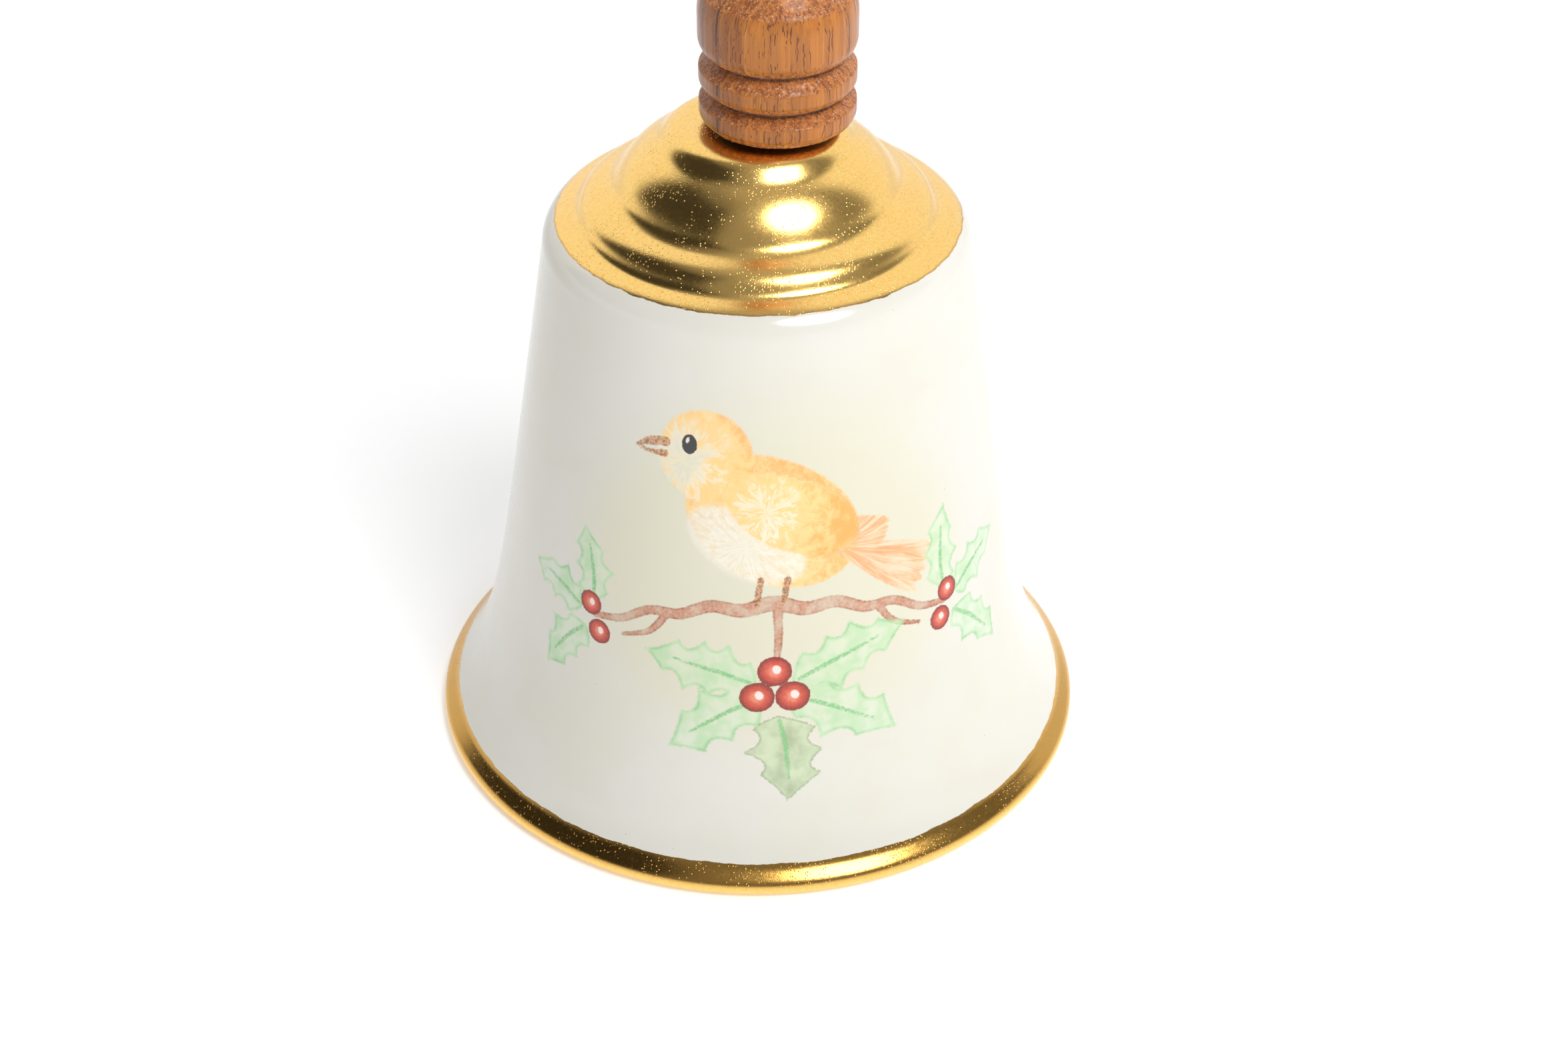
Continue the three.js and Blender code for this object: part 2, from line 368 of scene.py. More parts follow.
LIP_RADIUS = shell_high[0]
CROWN_HEIGHT = shell_high[2]
LIP_ROUND = 1.4
FOOT_INNER_RADIUS = 43.3
TAPER_RADIUS, TAPER_SLOPE = 40, 0.155
FLARE_DEPTH, FLARE_HEIGHT = 7.3, 8
WALL_THICKNESS = 3.2
WALL_START, INNER_WALL_START, INNER_WALL_TOP = 3.6, 1, 73
SHOULDER, TERRACE, LOW_STEP = (28.3, 75.4), (26.6, 78.95), (23.6, 80)
MIDDLE_STEP, TOP_STEP = (19.1, 83.15), (12.6, 90.1)
CROWN_BULGES = (0.48, 0.2, 1.15, 0.9, 0.78)
CROWN_FLAT, CROWN_HOLE = 8.8, 4.6
CEILING, CEILING_FLAT = 88.2, 11.6
INNER_STEP, INNER_SHOULDER, INNER_BULGE = (16.8, 81.2), (22.4, 77.6), 0.4
GLAZE_SOFTNESS, CROWN_SOFTNESS, COVE_SOFTNESS, COVE_REACH = 0.3, 0.72, 1.3, 1.3

PAINT_RADIUS = 33
PAINT_LOW, PAINT_HIGH = 9.5, 74
PAINT_LEFT, PAINT_RIGHT = -78, 86
PAINT_COLUMN, PAINT_ROW = 0.5, 0.4
COARSE_COLUMN = 2
CROWN_ROW, LIP_ROW, INSIDE_ROW = 0.3, 0.22, 1.6


def wall_radius(height):
    return TAPER_RADIUS - TAPER_SLOPE * height + FLARE_DEPTH * np.exp(-height / FLARE_HEIGHT)


def inner_radius(height):
    return wall_radius(height) - WALL_THICKNESS


def shell_outline():
    """The shell's outline from the foot up the outside, and how many fine points are outside."""
    outside = [
        [(FOOT_INNER_RADIUS, 0)],
        arc((LIP_RADIUS - LIP_ROUND, LIP_ROUND), LIP_ROUND, -90, 45),
        sampled(wall_radius, WALL_START, SHOULDER[1]),
    ]
    crown = [SHOULDER, TERRACE, LOW_STEP, MIDDLE_STEP, TOP_STEP, (CROWN_FLAT, CROWN_HEIGHT)]
    for start, end, bulge in zip(crown[:-1], crown[1:], CROWN_BULGES):
        outside.append(bulged(start, end, bulge))
    outside.append([(CROWN_HOLE, CROWN_HEIGHT)])
    inside = [
        [(CROWN_HOLE, CEILING)],
        bulged((CEILING_FLAT, CEILING), INNER_STEP, INNER_BULGE),
        bulged(INNER_STEP, INNER_SHOULDER, INNER_BULGE),
        bulged(INNER_SHOULDER, (inner_radius(INNER_WALL_TOP), INNER_WALL_TOP), INNER_BULGE),
        sampled(inner_radius, INNER_WALL_TOP, INNER_WALL_START),
    ]
    outer_length = evenly(np.vstack(outside), FINE_STEP, False)
    outline = np.vstack(outside + inside)
    eased = softened(outline, GLAZE_SOFTNESS, True)
    height = eased[:, 1:]
    on_crown = np.clip((height - SHOULDER[1]) / 2, 0, 1)
    in_cove = np.exp(-(((height - MIDDLE_STEP[1]) / COVE_REACH) ** 2))
    eased = eased + on_crown * (softened(outline, CROWN_SOFTNESS, True) - eased)
    eased = eased + in_cove * (softened(outline, COVE_SOFTNESS, True) - eased)
    return eased, len(outer_length)


def shell_rows():
    """Rows of the shell's mesh as [radius, height], and whether each lies outside."""
    fine, outer_count = shell_outline()
    outer = np.arange(len(fine)) < outer_count
    height = fine[:, 1]
    spacing = np.where(height < PAINT_LOW, LIP_ROW, PAINT_ROW)
    spacing = np.where(height > PAINT_HIGH, CROWN_ROW, spacing)
    spacing = np.where(outer, spacing, INSIDE_ROW)
    rows = thinned(np.column_stack([fine[:, 0], height]), spacing, True)
    marks = thinned(np.column_stack([outer.astype(float), height]), spacing, True)
    return rows, marks[:, 0] > 0.5


def unevenness(angle, height):
    """How far the cast wall stands off a true circle, in millimetres."""
    waves = 0.5 * np.sin(2 * angle + 0.7) + 0.3 * np.sin(3 * angle + 2.1 + height * 0.02)
    waves += 0.2 * np.sin(5 * angle + 4.0 - height * 0.05)
    return 0.06 * (waves - 1) * np.clip(height / 20, 0, 1)


def shell_faces(starts, painted, shared, fine_count):
    """Faces between the shell's rows, which have more vertices where the painting is."""
    faces = []
    for row, start in enumerate(starts):
        following = (row + 1) % len(starts)
        after = starts[following]
        if painted[row] == painted[following]:
            faces += ring_faces(start, after, fine_count if painted[row] else len(shared))
        elif painted[row]:
            faces += bridge_faces(after, start, shared, fine_count, False)
        else:
            faces += bridge_faces(start, after, shared, fine_count, True)
    return faces


def shell_mesh():
    """Vertices and faces of the shell, each vertex's angle, radius and height, and whether it is
    outside."""
    rows, outer = shell_rows()
    coarse = np.arange(-180, 180, COARSE_COLUMN)
    front = np.arange(PAINT_LEFT, PAINT_RIGHT, PAINT_COLUMN)
    fine = np.union1d(coarse, front)
    shared = np.searchsorted(fine, coarse).tolist()
    painted = outer & (rows[:, 1] > PAINT_LOW) & (rows[:, 1] < PAINT_HIGH)
    starts, angles, heights, radii, sides = [], [], [], [], []
    total = 0
    for (radius, height), is_painted, is_outer in zip(rows, painted, outer):
        columns = fine if is_painted else coarse
        starts.append(total)
        total += len(columns)
        angles.append(np.radians(columns))
        heights.append(np.full(len(columns), height))
        radii.append(np.full(len(columns), radius))
        sides.append(np.full(len(columns), is_outer))
    faces = shell_faces(starts, painted, shared, len(fine))
    angle, height = np.concatenate(angles), np.concatenate(heights)
    radius = np.concatenate(radii) + unevenness(angle, height)
    vertices = np.column_stack([radius * np.sin(angle), -radius * np.cos(angle), height])
    return vertices, faces, angle, radius, height, np.concatenate(sides)


# ---- Bell shell: painting -----------------------------------------------------------------
#
# A plain motif: a small bird in profile on an arched twig, a fan of holly leaves at each end of
# the twig and a spray of holly below it, the same on both sides of the middle. Places are
# millimetres: how far round the wall to the right of the front, at PAINT_RADIUS, and the height.

FAR = -9.0
MIDDLE = 2


def beside(place, across, up):
    """The place a given way across and up from another."""
    return place[0] + across, place[1] + up


def polar(place, angle, reach):
    """The place at an angle and a distance from another."""
    return beside(place, reach * math.cos(math.radians(angle)), reach * math.sin(math.radians(angle)))


BODY, BODY_HALF, BODY_TILT = (MIDDLE, 52), (12.4, 8.6), -26
BELLY, BELLY_HALF = beside(BODY, -3.6, -3.4), (8.4, 4.4)
HEAD, HEAD_HALF = beside(BODY, -9.2, 8.8), (6.6, 6.2)
FACE = beside(HEAD, -3.0, -1.0)
EYE, EYE_HALF = beside(HEAD, -2.2, 1.3), (1.1, 1.35)
EYE_GLINT, EYE_GLINT_RADIUS = beside(EYE, -0.3, 0.5), 0.36
WING, WING_HALF, WING_TILT = beside(BODY, 2.6, 0.6), (9.4, 4.8), -24
WING_PALE = beside(WING, -3.5, 0.8)

# Each fan of feathers: root, middle angle, spread, how many, and their length.
FEATHER_FANS = [
    (beside(BODY, 8.6, -4.4), -30, 24, 5, 14.5),
    (beside(WING, 3.0, -1.2), -20, 16, 4, 10.5),
]

# A feather's width at shares of its length.
FEATHER = [(0.0, 1.8), (0.5, 2.2), (0.9, 1.7), (1.0, 0.7)]

# Brush strokes are places along them, with the width there.
BEAK = [
    [
        (*beside(HEAD, -5.6, 1.1), 1.3),
        (*beside(HEAD, -8.0, 0.7), 1.1),
        (*beside(HEAD, -10.2, -0.4), 0.3),
    ],
    [(*beside(HEAD, -5.7, -0.6), 1.0), (*beside(HEAD, -9.4, -0.7), 0.3)],
]
LEGS = [
    [(*beside(BODY, across, -8.2), 0.9), (*beside(BODY, across - 0.6, -11.6), 0.8)]
    for across in (-1.6, 1.8)
]

TWIG_TOP, TWIG_REACH, TWIG_DROP, TWIG_JOINTS, TWIG_CROOK = 40, 24, 6.5, 12, 0.45
TWIG_WIDTH, TWIG_END_WIDTH, TWIG_FORK = 2.2, 0.9, 0.56
SPRAY = (MIDDLE, 28)
# Each pair of leaves: angle above the horizontal, length, half width, spines on a side.
END_LEAVES = [(80, 11.5, 3.3, 3), (16, 11.0, 3.3, 3), (-52, 11.5, 3.4, 3)]
SPRAY_LEAVES = [(16, 15.5, 4.3, 4), (-34, 14.5, 4.3, 3)]
LEAF_STALK, LEAF_BOW, LEAN_VARIES, LENGTH_VARIES = 2.2, 0.7, 3, 0.06
BERRY_RADIUS, BERRY_RING = 2.15, 2.5
END_BERRY_RADIUS = 0.8 * BERRY_RADIUS
GLINT_OFFSET, GLINT_SIZE = 0.12, 0.3
WASH_CENTRE, WASH_HALF = (MIDDLE, 44), (27, 24)


def twig_place(share):
    """A place on the arched twig: its middle at share 0 and its two ends at -1 and 1."""
    return MIDDLE + TWIG_REACH * share, TWIG_TOP - TWIG_DROP * share * share


def twig_strokes():
    """The arched twig, the stalk of the spray below it, and a side twig on each half of it."""
    arch = []
    for joint in range(TWIG_JOINTS + 1):
        share = 2 * joint / TWIG_JOINTS - 1
        width = TWIG_WIDTH + abs(share) * (TWIG_END_WIDTH - TWIG_WIDTH)
        arch.append((*beside(twig_place(share), 0, TWIG_CROOK * (-1) ** joint), width))
    stalk = [(*twig_place(0.02), 1.3), (*beside(SPRAY, 0.5, 6.5), 1.0), (*beside(SPRAY, 0, 3), 0.8)]
    strokes = [arch, stalk]
    for side in (-1, 1):
        root = twig_place(TWIG_FORK * side)
        elbow, end = beside(root, 2.4 * side, -3.4), beside(root, 6.2 * side, -5.2)
        strokes.append([(*root, 1.1), (*elbow, 0.9), (*end, 0.5)])
    return strokes


def sprig(root, leaves):
    """Leaves fanned out on both sides of a root, each a little different from its mirror image."""
    fanned = []
    for angle, length, half_width, spines in leaves:
        for side in (-1, 1):
            lean = angle + LEAN_VARIES * side
            heading = lean if side > 0 else 180 - lean
            reach = LEAF_STALK + length * (1 + LENGTH_VARIES * side)
            start, tip = (polar(root(side), heading, end) for end in (LEAF_STALK, reach))
            fanned.append((start, tip, half_width, spines, LEAF_BOW * side))
    return fanned


def berry_ring(centre, count, radius, first_angle):
    """Berries of one size set round a place, touching or nearly so."""
    ring = BERRY_RING * radius / BERRY_RADIUS
    turns = [first_angle + 360 * index / count for index in range(count)]
    return [(polar(centre, turn, ring), radius) for turn in turns]


# Each leaf: stalk end, tip, half width, spines on a side, sideways bow.
MINT_LEAVES = sprig(twig_place, END_LEAVES) + sprig(lambda side: SPRAY, SPRAY_LEAVES)
OLIVE_LEAVES = [(beside(SPRAY, 0.3, -4), beside(SPRAY, 1.2, -16.2), 4.8, 3, 0.6)]
TWIGS = twig_strokes()
BERRIES = (
    berry_ring(SPRAY, 3, BERRY_RADIUS, 90)
    + berry_ring(twig_place(-1), 2, END_BERRY_RADIUS, 115)
    + berry_ring(twig_place(1), 2, END_BERRY_RADIUS, 65)
)


def nearest_on(places, line):
    """Distance from each place to a line of points, the nearest segment and the share along it."""
    best = np.full(len(places), 1e9)
    segment = np.zeros(len(places), int)
    share = np.zeros(len(places))
    for index in range(len(line) - 1):
        start, run = line[index], line[index + 1] - line[index]
        along = np.clip((places - start) @ run / max(run @ run, 1e-12), 0, 1)
        distance = np.linalg.norm(places - start - along[:, None] * run, axis=1)
        closer = distance < best
        best[closer], segment[closer], share[closer] = distance[closer], index, along[closer]
    return best, segment, share


def inside_outline(places, outline):
    """Depth of each place inside a closed outline, negative outside it."""
    loop = np.vstack([outline, outline[:1]])
    distance = nearest_on(places, loop)[0]
    inside = np.zeros(len(places), bool)
    for (x0, y0), (x1, y1) in zip(loop[:-1], loop[1:]):
        if y0 == y1:
            continue
        crosses = (y0 > places[:, 1]) != (y1 > places[:, 1])
        inside ^= crosses & (places[:, 0] < (x1 - x0) * (places[:, 1] - y0) / (y1 - y0) + x0)
    return np.where(inside, distance, -distance)


def inside_stroke(places, stroke):
    """Depth inside a brush stroke given as [across, height, width] along it."""
    curve = spline(stroke, steps=6)
    distance, segment, share = nearest_on(places, curve[:, :2])
    width = curve[segment, 2] + share * (curve[segment + 1, 2] - curve[segment, 2])
    return width / 2 - distance


def inside_ellipse(places, centre, half, tilt=0.0):
    """Depth inside an ellipse, close to the true distance near its edge."""
    turn = math.radians(tilt)
    across, up = (places - np.array(centre)).T
    a = across * math.cos(turn) + up * math.sin(turn)
    b = up * math.cos(turn) - across * math.sin(turn)
    reach = np.hypot(a / half[0], b / half[1])
    slope = np.hypot(a / half[0] ** 2, b / half[1] ** 2)
    return (1 - reach) * reach / np.maximum(slope, 1e-6)


def leaf_spine(leaf):
    """Points along a leaf's middle, and the direction at right angles to it."""
    stalk, tip, _, _, bow = leaf
    stalk, run = np.array(stalk), np.array(tip) - np.array(stalk)
    across = np.array([-run[1], run[0]]) / np.linalg.norm(run)
    return (lambda t: stalk + t * run + 4 * bow * t * (1 - t) * across), across


def holly_outline(leaf):
    """A holly leaf's outline: scallops between pointed spines along each side."""
    _, _, half_width, spines, _ = leaf
    middle, across = leaf_spine(leaf)
    sides = []
    for side in (1, -1):
        tips = [middle(0.0)]
        for index in range(spines):
            t = (index + 0.65) / (spines + 0.75)
            lean = 0.07 * side * (-1) ** index
            reach = half_width * math.sin(math.pi * (0.14 + 0.84 * t)) * (1 + lean)
            tips.append(middle(t + 0.03 * side) + side * reach * across)
        tips.append(middle(1.0))
        edge = []
        for start, end in zip(tips[:-1], tips[1:]):
            t = np.linspace(0, 1, 9)[:-1, None]
            depth = -0.6 if end is not tips[-1] else -0.12
            depth = 0.2 if start is tips[0] else depth
            hollow = (start + end) / 2 + side * depth * half_width * across
            edge.append((1 - t) ** 2 * start + 2 * t * (1 - t) * hollow + t * t * end)
        sides.append(np.vstack(edge + [tips[-1]]))
    return np.vstack([sides[0], sides[1][::-1]])


def leaf_vein(leaf):
    """The brush stroke down a leaf's middle."""
    middle, _ = leaf_spine(leaf)
    return [(*middle(t), width) for t, width in ((0.06, 0.5), (0.35, 0.6), (0.75, 0.3))]


def flow_around(places, centre, around, outward):
    """Coordinates whose noise makes brush marks that run round a centre, or out from it."""
    offset = places - np.array(centre)
    reach = np.linalg.norm(offset, axis=1)
    unit = offset / np.maximum(reach, 1e-6)[:, None]
    return np.column_stack([around * unit[:, 0], around * unit[:, 1], outward * reach])


def feather_strokes():
    """The brush strokes of the tail's feathers and the wing's long ones."""
    strokes = []
    for root, angle, spread, count, length in FEATHER_FANS:
        for index in range(count):
            heading = angle + spread * (index / (count - 1) - 0.5)
            strokes.append([(*polar(root, heading, share * length), width) for share, width in FEATHER])
    return strokes


def paint_bird(places, layers, brush, load):
    """Fills in the bird's layers, the direction of its brush marks and how much paint they hold."""
    head = inside_ellipse(places, HEAD, HEAD_HALF)
    wing = inside_ellipse(places, WING, WING_HALF, WING_TILT)
    body = inside_ellipse(places, BODY, BODY_HALF, BODY_TILT)
    tail = deepest(inside_stroke, places, feather_strokes())
    root = FEATHER_FANS[0][0]
    from_belly, from_face, from_wing, from_root = (
        np.linalg.norm(places - np.array(place), axis=1) for place in (BELLY, FACE, WING_PALE, root)
    )
    parts = [
        ("breast", body, flow_around(places, BELLY, 9.0, 0.9), np.clip(from_belly / 11, 0.15, 1.1)),
        ("tail", tail, flow_around(places, root, 11.0, 0.16), 1.05 - 0.04 * from_root),
        ("head", head, flow_around(places, FACE, 5.0, 0.5), np.clip((from_face - 1.5) / 8, 0, 1.1)),
        ("wing", wing, flow_around(places, WING_PALE, 5.0, 0.75), np.clip(from_wing / 8.5, 0.3, 1.35)),
    ]
    for name, depth, marks, paint in parts:
        layers[name] = depth
        covered = depth > -PAINT_ROW
        brush[covered] = marks[covered]
        load[covered] = paint[covered]


def paint_berries(places, layers):
    """Fills in the berries: depth, how near the rim a place is, and the painted highlights."""
    layers["berry"] = np.full(len(places), FAR)
    layers["berry_rim"] = np.full(len(places), 2.0)
    eye_glint_half = EYE_GLINT_RADIUS * 0.7, EYE_GLINT_RADIUS * 1.3
    layers["glint"] = inside_ellipse(places, EYE_GLINT, eye_glint_half, -20)
    for centre, radius in BERRIES:
        depth = inside_ellipse(places, centre, (radius, radius))
        layers["berry"] = np.maximum(layers["berry"], depth)
        covered = depth > -0.1
        layers["berry_rim"][covered] = 1 - depth[covered] / radius
        shine = np.array(centre) + GLINT_OFFSET * radius
        size = GLINT_SIZE * radius
        painted_shine = inside_ellipse(places, shine, (size * 0.8, size), 20)
        layers["glint"] = np.maximum(layers["glint"], painted_shine)


def deepest(inside, places, shapes):
    """Depth inside any of the shapes."""
    return np.max([inside(places, shape) for shape in shapes], axis=0)


def painting(places):
    """Every layer of the painting at the given places: depths inside each kind of paint, the
    direction of the brush marks and how much paint they hold."""
    layers, brush = {}, np.column_stack([places, np.zeros(len(places))]) * 0.8
    load = np.zeros(len(places))
    paint_bird(places, layers, brush, load)
    paint_berries(places, layers)
    veins = [leaf_vein(leaf) for leaf in MINT_LEAVES + OLIVE_LEAVES]
    for name, leaves in (("mint", MINT_LEAVES), ("olive", OLIVE_LEAVES)):
        layers[name] = deepest(inside_outline, places, [holly_outline(leaf) for leaf in leaves])
    for name, strokes in (("vein", veins), ("twig", TWIGS), ("beak", BEAK + LEGS)):
        layers[name] = deepest(inside_stroke, places, strokes)
    layers["belly"] = inside_ellipse(places, BELLY, BELLY_HALF, BODY_TILT)
    layers["wash"] = inside_ellipse(places, WASH_CENTRE, WASH_HALF)
    layers["eye"] = inside_ellipse(places, EYE, EYE_HALF)
    layers["load"] = load
    return layers, brush


GILT_CROWN_RADIUS, GILT_CROWN_SHIFT, GILT_CROWN_SIDE = 26.7, 0.5, 58
GILT_LIP_HEIGHT = 4.15


def gilding_depth(angle, radius, height, outer):
    """Depth inside the gilding, negative on the glaze. The band on the crown was painted by
    hand, a little off centre."""
    crown_radius = GILT_CROWN_RADIUS + GILT_CROWN_SHIFT * np.sin(angle - math.radians(GILT_CROWN_SIDE))
    crown = np.where(height > SHOULDER[1], crown_radius - radius, FAR)
    lip = (GILT_LIP_HEIGHT - height) * 1.3
    under = np.where(height < 1.5, radius - (FOOT_INNER_RADIUS + 0.5), 9.0)
    depth = np.maximum(crown, np.minimum(lip, under))
    return np.where(outer, depth, FAR)


def make_shell(material):
    vertices, faces, angle, radius, height, outer = shell_mesh()
    piece = mesh_piece("porcelain_shell", vertices, faces, "bell", "bell_shell", material)
    add_values(piece, "gilding", gilding_depth(angle, radius, height, outer))
    places = np.column_stack([angle * PAINT_RADIUS, height])
    canvas = outer & (height > PAINT_LOW - 1) & (height < PAINT_HIGH + 1)
    canvas &= (angle > math.radians(PAINT_LEFT)) & (angle < math.radians(PAINT_RIGHT))
    layers, brush = painting(places[canvas])
    for name, painted in layers.items():
        values = np.full(len(places), 0.0 if name == "load" else FAR)
        values[canvas] = painted
        add_values(piece, "paint_" + name, values)
    marks = np.column_stack([places, np.zeros(len(places))])
    marks[canvas] = brush
    add_vectors(piece, "paint_brush", marks)
    add_values(piece, "outside", outer)
    return piece


# ---- Bell shell: material -----------------------------------------------------------------

GLAZE, GLAZE_WARM, WASH = rgb(225, 223, 214), rgb(223, 220, 207), rgb(221, 217, 191)
PINHOLE = rgb(150, 140, 126)
GOLD, GOLD_DEEP = rgb(255, 214, 130), rgb(251, 202, 113)
# The second colour on the next line is gold darkened as a painted dark reflection, for the band above
# the lip.
GOLD_EDGE, GOLD_DARK_REFLECTION = rgb(170, 120, 72), rgb(204, 158, 82)
CREAM, APRICOT, ORANGE = rgb(252, 238, 208), rgb(250, 211, 140), rgb(243, 176, 92)
TAIL_PALE, TAIL_DEEP = rgb(248, 206, 160), rgb(236, 160, 100)
BELLY_PALE, BELLY_DEEP = rgb(242, 238, 224), rgb(232, 222, 198)
MINT_PALE, MINT_MID, MINT_DEEP = rgb(214, 236, 204), rgb(184, 222, 174), rgb(128, 194, 128)
OLIVE_PALE, OLIVE_DEEP = rgb(204, 220, 180), rgb(148, 168, 124)
TWIG_PALE, TWIG_DEEP = rgb(216, 166, 138), rgb(168, 104, 78)
BERRY_DARK, BERRY_RED, BERRY_LIGHT = rgb(140, 34, 26), rgb(208, 70, 50), rgb(236, 138, 110)
BEAK_PALE, BEAK_DEEP = rgb(214, 164, 120), rgb(150, 96, 62)
EYE_BLACK, GLINT_WHITE = rgb(38, 40, 43), rgb(246, 232, 226)


def either_way(finish, value, amount):
    """A value of 0 to 1 as an offset that goes up and down by half the amount."""
    return finish.times(finish.minus(value, 0.5), amount)


def paint_layer(finish, under, name, ragged, colour, density, edge=0.12):
    """Lays one kind of translucent paint over what is under it, with a ragged brushed edge."""
    depth = finish.plus(finish.value("paint_" + name), ragged)
    cover = finish.times(finish.step(depth, -edge, edge), density)
    return finish.mix(cover, under, colour)


def paint_bird_colour(finish, paint, marks, blotch, ragged):
    """Brushed feathers, thin where they hold little paint, over a pale belly and a darker tail."""
    strokes = finish.step(marks, 0.3, 0.7)
    load = finish.plus(finish.value("paint_load"), either_way(finish, strokes, 0.55))
    load = finish.plus(load, either_way(finish, blotch, 0.5))
    feathers = finish.mix(finish.step(load, 0.0, 0.55), CREAM, APRICOT)
    feathers = finish.mix(finish.step(load, 0.6, 1.4), feathers, ORANGE)
    density = finish.step(load, -0.2, 0.6, 0.08, 0.92)
    belly = finish.mix(finish.step(marks, 0.35, 0.7), BELLY_PALE, BELLY_DEEP)
    tail = finish.mix(strokes, TAIL_PALE, TAIL_DEEP)
    tail_density = finish.step(marks, 0.25, 0.6, 0.35, 0.9)
    paint = paint_layer(finish, paint, "breast", ragged, feathers, density, 0.3)
    paint = paint_layer(finish, paint, "belly", ragged, belly, 0.8, 0.6)
    paint = paint_layer(finish, paint, "tail", ragged, tail, tail_density, 0.2)
    paint = paint_layer(finish, paint, "head", ragged, feathers, density, 0.35)
    return paint_layer(finish, paint, "wing", ragged, feathers, density, 0.25)


def paint_leaf_colour(finish, paint, grain, blotch, ragged, tight):
    """Blotched green leaves with paint pooled along their edges, and their veins."""
    pooled = finish.step(finish.value("paint_mint"), 0.1, 0.6, 0.45, 0.0)
    green = finish.plus(finish.step(blotch, 0.25, 0.85, 0.2, 0.75), pooled)
    mint = finish.mix(finish.step(green, 0.1, 0.6), MINT_PALE, MINT_MID)
    mint = finish.mix(finish.step(green, 0.6, 1.3), mint, MINT_DEEP)
    mint_density = finish.step(green, 0.0, 0.9, 0.3, 0.9)
    olive = finish.mix(finish.step(blotch, 0.25, 0.9), OLIVE_PALE, OLIVE_DEEP)
    olive = finish.mix(finish.step(finish.value("paint_olive"), 0.35, 0.0), olive, OLIVE_DEEP)
    vein_density = finish.step(grain, 0.3, 0.6, 0.35, 0.9)
    paint = paint_layer(finish, paint, "mint", ragged, mint, mint_density, 0.2)
    paint = paint_layer(finish, paint, "olive", ragged, olive, 0.82)
    return paint_layer(finish, paint, "vein", tight, MINT_DEEP, vein_density, 0.14)


def painted_colour(finish, glaze):
    """The glaze with the painting on it."""
    grain = finish.noise(finish.place, 2.6, 3, 0.6)
    blotch = finish.noise(finish.place, 0.42, 2, 0.5)
    marks = finish.noise(finish.vector("paint_brush"), 1.0, 3, 0.62, 0.4)
    ragged, tight = (either_way(finish, grain, amount) for amount in (0.7, 0.3))
    paint = finish.mix(finish.step(finish.value("paint_wash"), -6.5, 8, 0.0, 0.75), glaze, WASH)

    twig_rim = finish.step(finish.value("paint_twig"), 0.4, 0.0, 0.0, 0.5)
    bark = finish.plus(finish.step(grain, 0.35, 0.65, 0.1, 0.6), twig_rim)
    twig_density = finish.step(blotch, 0.3, 0.6, 0.55, 1.0)
    twig = finish.mix(bark, TWIG_PALE, TWIG_DEEP)
    paint = paint_layer(finish, paint, "twig", tight, twig, twig_density)
    paint = paint_bird_colour(finish, paint, marks, blotch, ragged)
    paint = paint_leaf_colour(finish, paint, grain, blotch, ragged, tight)

    rim = finish.plus(finish.value("paint_berry_rim"), either_way(finish, grain, 0.4))
    berry = finish.mix(finish.step(rim, 0.15, 0.6), BERRY_LIGHT, BERRY_RED)
    berry = finish.mix(finish.step(rim, 0.55, 0.95), berry, BERRY_DARK)
    beak = finish.mix(finish.step(grain, 0.4, 0.6), BEAK_PALE, BEAK_DEEP)
    paint = paint_layer(finish, paint, "berry", tight, berry, 0.96, 0.08)
    paint = paint_layer(finish, paint, "beak", tight, beak, 0.9)
    paint = paint_layer(finish, paint, "eye", tight, EYE_BLACK, 0.97, 0.08)
    return paint_layer(finish, paint, "glint", tight, GLINT_WHITE, 0.92, 0.1)


def glaze_colour(finish):
    """Slightly clouded glaze with a few pinholes."""
    cloud = finish.noise(finish.place, 0.05, 3, 0.55)
    glaze = finish.mix(finish.step(cloud, 0.4, 0.7), GLAZE, GLAZE_WARM)
    pin = finish.cells(finish.place, 0.28)
    chosen = finish.step(finish.separate(pin[1])[0], 0.55, 0.6)
    pinhole = finish.times(finish.step(pin[0], 0.035, 0.01), chosen)
    return finish.mix(finish.times(pinhole, 0.7), glaze, PINHOLE)


def gold_colour(finish, depth, tone):
    """Gold lustre, thin at its painted edge, with a painted dark reflection on the band above the lip.
    """
    gold = finish.mix(finish.step(tone, 0.35, 0.7), GOLD, GOLD_DEEP)
    gold = finish.mix(finish.times(finish.step(depth, 0.3, 0.02), 0.55), gold, GOLD_EDGE)
    level = finish.separate(finish.place)[2]
    # The band above the lip is darkened all round: a painted dark reflection.
    band = finish.times(finish.step(level, 1.3, 2.3), finish.step(level, 9, 7))
    return finish.mix(band, gold, GOLD_DARK_REFLECTION)


def gold_relief(finish):
    """The gilding's fine grain, and specks that gather in patches."""
    where = finish.place
    patches = finish.step(finish.noise(where, 0.16, 2, 0.5), 0.42, 0.6)
    spots = finish.cells(where, 3.0)
    spot_choice = finish.plus(finish.separate(spots[1])[0], finish.times(patches, 0.6))
    speck = finish.times(finish.step(spots[0], 0.34, 0.05), finish.step(spot_choice, 0.86, 1.0))
    grain, ripple = finish.noise(where, 6.5, 2, 0.6), finish.noise(where, 0.9, 2, 0.5)
    return finish.relief((grain, 0.008), (ripple, 0.005), (speck, 0.034))


